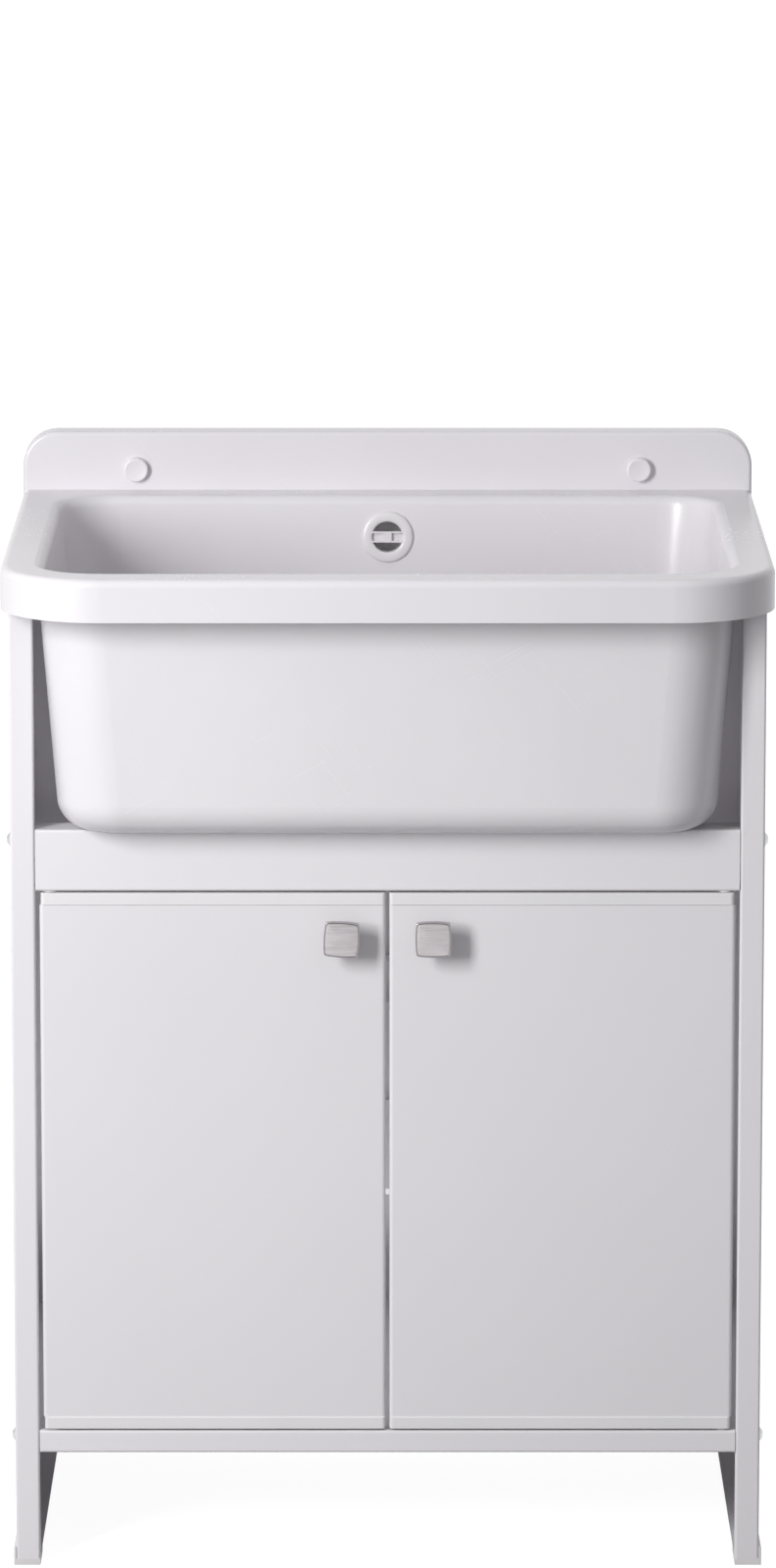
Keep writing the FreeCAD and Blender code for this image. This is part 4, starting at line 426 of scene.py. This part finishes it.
# %% Rubber seals and the hose
BLOOMS_PER_METRE = 60.0
RUBBER_GRAINS_PER_METRE = 900.0
RUBBER_RIPPLE = 0.6
RUBBER_GRAIN_DEPTH = 0.00003
RUBBER_DULLER_BY = 0.15


def soft_rubber(slot, tone, other_tone, roughness):
    """Rubber or soft vinyl: a dull skin with a pale bloom in patches."""
    tree, shader, here = finish(slot, IOR=1.5)
    tones = shared(tree, drift, Vector=here, Tone=tone, Other_Tone=other_tone,
                   Per_Metre=BLOOMS_PER_METRE)
    colour(tree, shader, tones["Color"])
    vary_gloss(tree, shader, tones["Mask"], roughness, RUBBER_DULLER_BY)
    skin = shared(tree, waves, Vector=here, Per_Metre=RUBBER_GRAINS_PER_METRE, Ripple=RUBBER_RIPPLE)
    bump(tree, shader, skin["Height"], RUBBER_GRAIN_DEPTH)


soft_rubber("black_rubber", grey(38, 38, 39), grey(52, 51, 51), roughness=0.6)
soft_rubber("hose_rubber", grey(168, 170, 172), grey(158, 160, 163), roughness=0.45)
print("made:", list(finishes))

# %% [markdown]
# ### Drawn metals
# The knobs are satin nickel: fine lines run across the face and spread the light sideways. The
# strainer is drawn stainless steel. Both are fully metallic, so their colour sits in the
# reflection, and the streaks work on tone, gloss and height at once, as real scratches do.

# %% Nickel and stainless steel
GRAIN_DEPTH = 0.00001
GRAIN_DULLER_BY = 0.12


def drawn_metal(slot, tone, other_tone, roughness, squeeze):
    """Metal with streaks along one direction, in tone, gloss and height."""
    tree, shader, here = finish(slot, Metallic=1.0)
    streaks = shared(tree, grain, Vector=here, Squeeze=squeeze)["Streaks"]
    colour(tree, shader, mix(tree, streaks, tone, other_tone))
    vary_gloss(tree, shader, streaks, roughness, GRAIN_DULLER_BY)
    bump(tree, shader, streaks, GRAIN_DEPTH)


drawn_metal("satin_nickel", grey(150, 146, 148), grey(194, 189, 191), roughness=0.3,
            squeeze=(30, 600, 600))
drawn_metal("strainer_steel", grey(200, 200, 200), grey(222, 222, 221), roughness=0.16,
            squeeze=(300, 300, 900))
print("made:", list(finishes))

# %% [markdown]
# ### Plated and sintered metals
# Screws, pins and strikes are zinc plated, which leaves small crystals of slightly different
# tone. The catch magnets are sintered from powder and have far smaller, darker grains. Noise
# would give soft clouds for both, so cells with straight borders are used instead.

# %% Zinc plate and the catch magnets
CRYSTAL_SKIN_PER_METRE = 1200.0
CRYSTAL_RIPPLE = 0.5
CRYSTAL_DEPTH = 0.00002
CRYSTAL_DULLER_BY = 0.15


def crystal_metal(slot, tone, other_tone, roughness, crystals_per_metre):
    """Metal whose surface is split into small cells, each a little lighter or duller."""
    tree, shader, here = finish(slot, Metallic=1.0)
    cells = add(tree, "ShaderNodeTexVoronoi", Vector=here, Scale=crystals_per_metre)
    shade = add(tree, "ShaderNodeSeparateColor", Color=cells.outputs["Color"]).outputs["Red"]
    colour(tree, shader, mix(tree, shade, tone, other_tone))
    vary_gloss(tree, shader, shade, roughness, CRYSTAL_DULLER_BY)
    skin = shared(tree, waves, Vector=here, Per_Metre=CRYSTAL_SKIN_PER_METRE, Ripple=CRYSTAL_RIPPLE)
    bump(tree, shader, skin["Height"], CRYSTAL_DEPTH)


crystal_metal("zinc_steel", grey(196, 199, 202), grey(212, 213, 210), roughness=0.28,
              crystals_per_metre=700.0)
crystal_metal("dark_magnet", grey(96, 96, 99), grey(112, 111, 112), roughness=0.42,
              crystals_per_metre=2500.0)
print("made:", list(finishes))

# %% [markdown]
# ### Who wears what
# Each solid arrives with a plain material that carries the name of its slot. The finish of that
# name takes its place. The names are kept by solid, since the computed pieces further down wear
# the finish of the solid that they stand in for.

# %% Give each solid the finish that its record names
slot_of = {}
for name, solid in solids.items():
    slots = solid.material_slots
    slot_of[name] = slots[0].material.name.split(".")[0]
    for held in slots:
        held.material = finishes[slot_of[name]]
print("dressed:", len(slot_of), "solids in", len(set(slot_of.values())), "finishes")

# %% [markdown]
# ## Shapes that are computed
# Five pieces need more form than their solids have. Each is a grid of points that a formula
# gives, joined row by row into a closed skin. It could be modelled by hand, but a grid keeps its
# sizes as named values, and the corners between its flat and round parts can be told by angle.

# %% Grids of points become one mesh
SHARP_FROM = math.radians(35)
SAME_PLACE = 1e-7


def net(grid, wrap_rows=True):
    """The points and four-cornered faces of an array, rows by columns by xyz. Columns wrap."""
    rows, columns = grid.shape[:2]
    row = np.arange(rows if wrap_rows else rows - 1)[:, None]
    column = np.arange(columns)[None, :]
    row_next, column_next = (row + 1) % rows, (column + 1) % columns
    faces = np.stack(np.broadcast_arrays(row * columns + column, row * columns + column_next,
                                         row_next * columns + column_next,
                                         row_next * columns + column), -1)
    return grid.reshape(-1, 3), faces.reshape(-1, 4)


def shell(name, nets, body, replaced):
    """One object from several nets, in the finish of the solid it replaces, riding a body."""
    all_points, all_faces = zip(*nets)
    starts = np.cumsum([0] + [len(points) for points in all_points[:-1]])
    faces = np.concatenate([faces + start for faces, start in zip(all_faces, starts)])
    mesh = bpy.data.meshes.new(name)
    mesh.from_pydata(np.concatenate(all_points).tolist(), [], faces.tolist())
    work = bmesh.new()
    work.from_mesh(mesh)
    bmesh.ops.remove_doubles(work, verts=work.verts, dist=SAME_PLACE)
    bmesh.ops.recalc_face_normals(work, faces=work.faces)
    work.to_mesh(mesh)
    work.free()
    mesh.polygons.foreach_set("use_smooth", np.ones(len(mesh.polygons), bool))
    mesh.set_sharp_from_angle(angle=SHARP_FROM)
    slot = slot_of[replaced]
    mesh.materials.append(finishes[slot])
    made = bpy.data.objects.new(name, mesh)
    bpy.context.scene.collection.objects.link(made)
    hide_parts(replaced)
    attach(made, body)
    return made


print("edges are sharp from, in degrees:", round(math.degrees(SHARP_FROM)))

# %% [markdown]
# ## The ribbed hose
# The overflow's water runs down behind the tub in a soft ribbed hose. In CAD it is a plain
# bent tube. Its ribs could be a bump in the material, but they show in outline, so they are a
# shape: a circle carried along the route, whose radius swells and shrinks with the distance
# travelled. The ends stay plain, because they are pulled over smooth spigots and clamped.

# %% The hose's route, as one smooth spline
HOSE_ROUTE = [(0, 0.2056, 0.7400), (0, 0.2020, 0.6940), (0, 0.1921, 0.5690), (0, 0.1000, 0.5690),
              (0, 0.0950, 0.5690)]
SPLINE_ORDER = 3
SPLINE_STEPS = 48


def smooth_route(stops):
    """Points along a spline that starts at the first stop, ends at the last and nears the rest."""
    curve = bpy.data.curves.new("hose_route", "CURVE")
    curve.dimensions = "3D"
    curve.resolution_u = SPLINE_STEPS
    spline = curve.splines.new("NURBS")
    spline.points.add(len(stops) - 1)
    for point, stop in zip(spline.points, stops):
        point.co = (*stop, 1)
    spline.order_u = SPLINE_ORDER
    spline.use_endpoint_u = True
    guide = bpy.data.objects.new("hose_route", curve)
    line_mesh = bpy.data.meshes.new_from_object(guide)
    points = np.empty(len(line_mesh.vertices) * 3)
    line_mesh.vertices.foreach_get("co", points)
    bpy.data.objects.remove(guide)
    bpy.data.curves.remove(curve)
    bpy.data.meshes.remove(line_mesh)
    return points.reshape(-1, 3)


route = smooth_route(HOSE_ROUTE)
print("route points:", len(route))

# %% Carry the ribbed wall along the route
HOSE_RADIUS = 0.01115
HOSE_BORE = 0.00915
RIB_PITCH = 0.0042
RIB_HEIGHT = 0.0016
CUFF = 0.019
ROWS_PER_RIB = 9
ROWS_PER_BORE_ROW = 3
HOSE_COLUMNS = 40
LOOK_AHEAD = 1e-4


def along(path, travelled, stations):
    """The points of a path at some distances from its start."""
    return np.stack([np.interp(stations, travelled, path[:, axis]) for axis in range(3)], 1)


def ribbed_hose(path):
    """A closed wall round a path in the plane x = 0.

    Outside, the radius is the hose's own less half a rib, plus half a rib times the cosine of
    the distance travelled over the pitch. Next to the plain cuff at each end the ribs fade in
    over one pitch. Inside, the radius is the bore's. The two walls are one loop, out along the
    first and back along the other.
    """
    steps = np.linalg.norm(np.diff(path, axis=0), axis=1)
    travelled = np.concatenate([[0], np.cumsum(steps)])
    length = travelled[-1]
    rows = np.linspace(0, length, int(length / RIB_PITCH * ROWS_PER_RIB))
    back = rows[::-ROWS_PER_BORE_ROW]
    stations = np.concatenate([rows, back])
    ahead = (along(path, travelled, stations + LOOK_AHEAD)
             - along(path, travelled, stations - LOOK_AHEAD))
    ahead /= np.linalg.norm(ahead, axis=1)[:, None]
    side = np.broadcast_to([1.0, 0, 0], ahead.shape)
    up = np.cross(ahead, side)
    from_end = np.minimum(rows, length - rows)
    ribbed = np.clip((from_end - CUFF) / RIB_PITCH, 0, 1)
    ribs = RIB_HEIGHT / 2 * (np.cos(2 * np.pi * rows / RIB_PITCH) - 1) * ribbed
    radius = np.concatenate([HOSE_RADIUS + ribs, np.full(len(back), HOSE_BORE)])
    angle = np.linspace(0, 2 * np.pi, HOSE_COLUMNS, endpoint=False)[:, None]
    circle = side[:, None] * np.cos(angle) + up[:, None] * np.sin(angle)
    grid = along(path, travelled, stations)[:, None] + radius[:, None, None] * circle
    return net(grid), length


hose_net, hose_length = ribbed_hose(route)
hose = shell("ribbed_overflow_hose", [hose_net], "cabinet", "overflow_hose")
print("hose length in mm:", round(hose_length * 1000), "faces:", len(hose.data.polygons))

# %% [markdown]
# ## The knobs
# Each knob is a square head on a round neck, cast and then brushed. Its sides swell a little, its
# corners are nearly sharp, and a fine channel runs round the face. The channel is what draws the
# dark line just inside the outline. In CAD the head is plain, so the dressed knob is computed:
# one closed net whose rows run from the screw hole, over the neck, to the middle of the face.

# %% The knob's outline, from the screw hole to the middle of its face
MILLIMETRE = 0.001
KNOB_HALF = 14.0
KNOB_SWELL = 1.0
CORNER_POWER = 26
POINTS_PER_SIDE = 36
FACE_ROWS = 12
FACE_TOP = 22.0
# Radius and height over the door, in mm, of the round rows: the screw hole, then the neck.
NECK_SECTION = [(0.0, 10.0), (1.95, 10.0), (2.0, 9.9), (2.0, 0.1), (2.05, 0.0), (5.95, 0.0),
                (6.0, 0.1), (6.0, 14.9), (6.1, 15.0)]
# Half the width and height of the square rows: the head's back, its side, the channel, the face.
HEAD_SECTION = [(12.9, 15.0), (13.0, 15.0), (13.8, 15.4), (KNOB_HALF, 16.0), (KNOB_HALF, 20.3),
                (13.95, 20.6), (13.7, 20.8), (13.6, 20.7), (13.55, 19.5), (13.45, 19.4),
                (12.95, 19.4), (12.85, 19.5), (12.8, 20.8), (12.7, 21.0), (12.4, 21.1)]


def knob_net(centre, turn):
    """A knob whose neck starts at centre and points along -Y, turned by an angle about that line.

    A round row is a circle. A square row has the radius size over the n-th root of |cos|^n +
    |sin|^n, where n is the corner power and size loses the swell, in proportion to the square of
    the smaller over the larger of |cos| and |sin|. The face rises by a parabola to its middle.
    """
    inward = np.linspace(1, 0, FACE_ROWS + 1)[1:]
    edge_size, edge_rise = HEAD_SECTION[-1]
    face = np.stack([edge_size * inward, FACE_TOP - (FACE_TOP - edge_rise) * inward ** 2], 1)
    size, rise = np.concatenate([NECK_SECTION, HEAD_SECTION, face]).T[..., None]
    is_round = np.arange(len(size))[:, None] < len(NECK_SECTION)
    one_side = np.arctan(np.sin(np.linspace(-1, 1, POINTS_PER_SIDE, endpoint=False) * np.pi / 2))
    angle = np.concatenate([one_side + quarters * np.pi / 2 for quarters in range(4)])
    wide, tall = np.abs(np.cos(angle)), np.abs(np.sin(angle))
    lost = KNOB_SWELL / KNOB_HALF * (np.minimum(wide, tall) / np.maximum(wide, tall)) ** 2
    boxed = (1 - lost) / (wide ** CORNER_POWER + tall ** CORNER_POWER) ** (1 / CORNER_POWER)
    radius = size * np.where(is_round, 1.0, boxed)
    local = np.stack(np.broadcast_arrays(radius * np.cos(angle + turn), -rise,
                                         radius * np.sin(angle + turn)), -1)
    return net(centre + local * MILLIMETRE, wrap_rows=False)


print("rows of the knob's net:", len(NECK_SECTION) + len(HEAD_SECTION) + FACE_ROWS)

# %% Put both knobs on their doors
KNOB_TURNS = {"left": math.radians(-3), "right": 0.0}


def box_of(name):
    """The lowest and the highest corner of a solid's box, in metres."""
    corners = np.array([list(point) for point in solids[name].bound_box])
    return corners.min(0), corners.max(0)


for hand, turn in KNOB_TURNS.items():
    low, high = box_of(hand + "_knob")
    root = np.array([(low[0] + high[0]) / 2, high[1], (low[2] + high[2]) / 2])
    shell(hand + "_brushed_knob", [knob_net(root, turn)], hand + "_door", hand + "_knob")
    print(hand, "knob stands", round((high[1] - low[1]) / MILLIMETRE, 1), "mm proud")

# %% [markdown]
# ## The overflow's ring
# The ring clicks into the back wall of the basin. Its face is gently domed, and a key bar crosses
# the hole: a channel with a rib along each edge and a post in the middle for a coin. The dressed
# ring is three closed nets in one piece: the turned ring, the channel and the post.

# %% Outlines that are turned
ROUND_COLUMNS = 96
around = np.linspace(0, 2 * np.pi, ROUND_COLUMNS, endpoint=False)


def turned(section):
    """Rows of radius and height turned round their axis, as distances across, up and out."""
    radius, out = section[:, :1], section[:, 1:]
    return np.broadcast_arrays(radius * np.cos(around), radius * np.sin(around), out)


print("columns round each turned piece:", ROUND_COLUMNS)

# %% The turned ring on its leaning wall
WALL_LEAN = math.radians(4.529)
# In mm, as the radius and the distance out from the wall: up the ring's side, over its crest,
# down into the opening and back along the neck.
RING_RADIUS = 21.0
OPENING_RADIUS = 12.5
NECK_RADIUS = 14.0
NECK_REACH = 16.0
RING_SECTION = np.array([
    (RING_RADIUS, 0.0), (RING_RADIUS, 1.0), (20.8, 1.6), (20.3, 2.2), (19.4, 2.6), (18.0, 2.9),
    (16.5, 3.0), (14.8, 2.95), (13.5, 2.75), (12.8, 2.3), (OPENING_RADIUS, 1.6),
    (OPENING_RADIUS, -NECK_REACH), (NECK_RADIUS, -NECK_REACH), (NECK_RADIUS, 0.0)])
CAD_RING_SIDE = 1.5

lean, stand = math.sin(WALL_LEAN), math.cos(WALL_LEAN)
ring_low, ring_high = box_of("overflow_rosette")
# The solid's box ends at the back of its leaning neck. The ring's side, which is CAD_RING_SIDE
# deep, lifts the box's top a little above the ring's own.
ring_middle = np.array([
    (ring_low[0] + ring_high[0]) / 2,
    ring_high[1] - (NECK_REACH * stand + NECK_RADIUS * lean) * MILLIMETRE,
    (ring_low[2] + ring_high[2] - CAD_RING_SIDE * lean * MILLIMETRE) / 2])


def on_wall(across, up, out):
    """Points given across, up and out from the middle of the ring, in mm, on the leaning wall."""
    local = np.stack(np.broadcast_arrays(across, up, out), -1) * MILLIMETRE
    return ring_middle + local @ np.array([(1, 0, 0), (0, lean, stand), (0, -stand, lean)])


ring = on_wall(*turned(RING_SECTION))
print("middle of the ring:", ring_middle.round(5))

# %% The key bar with its post, and all three as one piece
# In mm: up and out for the bar, across and up for the post.
BAR_SECTION = np.array([(-4.5, 2.9), (-3.1, 2.9), (-3.1, -0.4), (3.1, -0.4), (3.1, 2.9), (4.5, 2.9),
                        (4.5, -1.8), (-4.5, -1.8)])
BAR_REACH = 13.2
POST_HALF = 3.3
POST_CORNERS = np.array([(-1, -1), (1, -1), (1, 1), (-1, 1)]) * POST_HALF
POST_RANGE = (-1.0, 2.7)


def closed_ends(outline, stations):
    """An outline repeated at two stations and drawn in to its middle at both ends."""
    middle = np.broadcast_to(outline.mean(0), outline.shape)
    flat = np.stack([middle, outline, outline, middle])
    return flat[..., 0], flat[..., 1], np.repeat(stations, 2)[:, None]


bar_up, bar_out, bar_across = closed_ends(BAR_SECTION, (-BAR_REACH, BAR_REACH))
post_across, post_up, post_out = closed_ends(POST_CORNERS, POST_RANGE)
rosette = shell("overflow_ring_and_bar",
                [net(ring), net(on_wall(bar_across, bar_up, bar_out), wrap_rows=False),
                 net(on_wall(post_across, post_up, post_out), wrap_rows=False)],
                "cabinet", "overflow_rosette")
print("faces of the ring and its bar:", len(rosette.data.polygons))

# %% [markdown]
# ## The screw covers
# Each cover is a flat button with a rounded edge, on a peg that plugs its hole. It stands 6 mm
# proud, 2 mm more than its solid, which has a plain bevel. A cylinder with a bevel would do for
# the edge, but a turned outline also gives the low step round the face. It runs from the peg's
# end to the middle of the face, and its axis is level.

# %% Both covers on the splashback
COVER_RADIUS = 10.0
FACE_RISE = 6.0
PEG_RADIUS = 3.3
PEG_LENGTH = 9.0
COVER_SECTION = np.array([
    (0.0, -PEG_LENGTH), (PEG_RADIUS, -PEG_LENGTH), (PEG_RADIUS, 0.0), (COVER_RADIUS, 0.0),
    (COVER_RADIUS, 4.6), (9.9, 5.2), (9.6, 5.7), (9.1, 6.05), (8.5, 6.2), (7.9, 6.15),
    (7.4, FACE_RISE), (0.0, FACE_RISE)])

across, up, forward = turned(COVER_SECTION)
button = np.stack([across, -forward, up], -1) * MILLIMETRE

caps_low, caps_high = box_of("screw_caps")
splash_front = caps_high[1] - PEG_LENGTH * MILLIMETRE
level = (caps_low[2] + caps_high[2]) / 2
cover_nets = [net(np.array([x, splash_front, level]) + button, wrap_rows=False)
              for x in (caps_low[0] + COVER_RADIUS * MILLIMETRE,
                        caps_high[0] - COVER_RADIUS * MILLIMETRE)]
covers = shell("round_screw_covers", cover_nets, "cabinet", "screw_caps")
print("covers' faces:", len(covers.data.polygons))

# %% [markdown]
# ## Light
# One tall, soft lamp stands in front, well to the left, with its lower edge about level with the
# rim. It makes the left corner of the rim the brightest place and lets the shade deepen slowly to
# the right, which is what shapes a white object on white. It also throws the knobs' shadows
# sideways over the doors. A small lamp would draw hard shadows, and one beside the camera would
# wipe the shading out.

# %% The tall lamp
LAMP_PLACE = Vector((-1.35, -1.77, 1.34))
LAMP_AIM = Vector((0.0, -0.2, 0.8))
LAMP_WIDTH = 0.5
LAMP_HEIGHT = 1.15
LAMP_WATTS = 45.0


def area_lamp(name, place, turn, width, depth, watts):
    """A rectangular lamp that the camera doesn't see."""
    data = bpy.data.lights.new(name, "AREA")
    data.shape = "RECTANGLE"
    data.size = width
    data.size_y = depth
    data.energy = watts
    made = bpy.data.objects.new(name, data)
    made.location = place
    made.rotation_euler = turn
    made.visible_camera = False
    bpy.context.scene.collection.objects.link(made)


area_lamp("soft_lamp", LAMP_PLACE, (LAMP_AIM - LAMP_PLACE).to_track_quat("-Z", "Y").to_euler(),
          LAMP_WIDTH, LAMP_HEIGHT, LAMP_WATTS)
print("lamp to the point it shines at, in metres:", round((LAMP_PLACE - LAMP_AIM).length, 2))

# %% [markdown]
# The cabinet is a box with an open back, so light enters it and shows in the gaps round the doors
# and beside the tub as a soft grey. One weak, broad lamp that lies on the shelf and shines upward
# stands in for that light. It also lets the trap be seen when the doors open. It lies a little to
# the left, since the gap on that side of the tub is the lighter one.

# %% A broad lamp on the shelf
INNER_PLACE = (-0.06, 0.03, 0.15)
INNER_TURN = (math.pi, 0, 0)
INNER_WIDTH = 0.42
INNER_DEPTH = 0.3
INNER_WATTS = 0.45

area_lamp("shelf_lamp", INNER_PLACE, INNER_TURN, INNER_WIDTH, INNER_DEPTH, INNER_WATTS)
print("shelf lamp in watts:", INNER_WATTS)

# %% [markdown]
# ### The room
# The rest of the room is even, pale light, a little stronger from behind, where the wall is. The
# camera should see a plain white backdrop, and so should mirrors, or the knobs would reflect a
# grey room. A stronger room light would wash out the shading, so the world has two strengths,
# and the kind of ray decides which one it gets.

# %% White for the camera and for reflections, room light for everything else
def seen_directly(tree):
    """1 for a ray from the camera, a mirror or glass, 0 for light that a dull surface gathers."""
    path = tree.nodes.new("ShaderNodeLightPath").outputs
    first = maths(tree, "MAXIMUM", path["Is Camera Ray"], path["Is Glossy Ray"])
    return maths(tree, "MAXIMUM", first, path["Is Transmission Ray"])


ROOM_LIGHT = 0.43
ROOM_LIGHT_BEHIND = 0.68
ROOM_TONE = grey(253, 252, 255)
WHITE = (1, 1, 1, 1)

world = bpy.data.worlds.new("pale_room")
world.use_nodes = True
bpy.context.scene.world = world
sky = world.node_tree
sky.nodes.clear()
direction = add(sky, "ShaderNodeSeparateXYZ",
                Vector=sky.nodes.new("ShaderNodeTexCoord").outputs["Generated"])
strength = ramp(sky, direction.outputs["Y"], onto=(ROOM_LIGHT, ROOM_LIGHT_BEHIND))
room = add(sky, "ShaderNodeBackground", Color=ROOM_TONE, Strength=strength)
backdrop = add(sky, "ShaderNodeBackground", Color=WHITE, Strength=1.0)
choice = add(sky, "ShaderNodeMixShader", Fac=seen_directly(sky), _1=room.outputs[0],
             _2=backdrop.outputs[0])
add(sky, "ShaderNodeOutputWorld", Surface=choice.outputs[0])
print("room light, and the light from behind:", ROOM_LIGHT, ROOM_LIGHT_BEHIND)

# %% [markdown]
# ## The floor
# The unit stands on a white floor that runs into the white backdrop. To the camera the floor
# glows nearly white by itself, and a dull layer on top takes the shadow. To everything else it
# is an ordinary pale floor, so the light that it throws back up at the unit is real.

# %% A floor that keeps the shadow
FLOOR_REACH = 60.0
FLOOR_TONE = grey(140, 140, 141)
SHADED_LAYER = (0.4, 0.4, 0.4, 1)
FLOOR_GLOW = 0.92

floor_mesh = bpy.data.meshes.new("floor")
floor_mesh.from_pydata([(-FLOOR_REACH, -FLOOR_REACH, 0), (FLOOR_REACH, -FLOOR_REACH, 0),
                        (FLOOR_REACH, FLOOR_REACH, 0), (-FLOOR_REACH, FLOOR_REACH, 0)],
                       [], [(0, 1, 2, 3)])
floor = bpy.data.objects.new("floor", floor_mesh)
bpy.context.scene.collection.objects.link(floor)
paper = bpy.data.materials.new("floor_paper")
paper.use_nodes = True
tree = paper.node_tree
tree.nodes.clear()
plain = add(tree, "ShaderNodeBsdfDiffuse", Color=FLOOR_TONE)
soft = add(tree, "ShaderNodeBsdfDiffuse", Color=SHADED_LAYER)
glow = add(tree, "ShaderNodeEmission", Color=WHITE, Strength=FLOOR_GLOW)
layered = add(tree, "ShaderNodeAddShader", _0=soft.outputs[0], _1=glow.outputs[0])
shown = add(tree, "ShaderNodeMixShader", Fac=seen_directly(tree), _1=plain.outputs[0],
            _2=layered.outputs[0])
add(tree, "ShaderNodeOutputMaterial", Surface=shown.outputs[0])
floor_mesh.materials.append(paper)
floor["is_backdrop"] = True
print("floor reaches this far from the unit, in metres:", FLOOR_REACH)

# %% [markdown]
# ## The last checks
# Colours should come out as they are written, which the standard view does. How much the dressed
# unit's box grows over the solids' box is printed.

# %% Colours as they are written, and how much the box grows
bpy.context.scene.view_settings.view_transform = "Standard"
seen_low, seen_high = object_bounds()
growth = (seen_high - seen_low) - (cad_high - cad_low)
print("visual box grows by, in mm:", [round(float(c) / MILLIMETRE, 2) for c in growth])
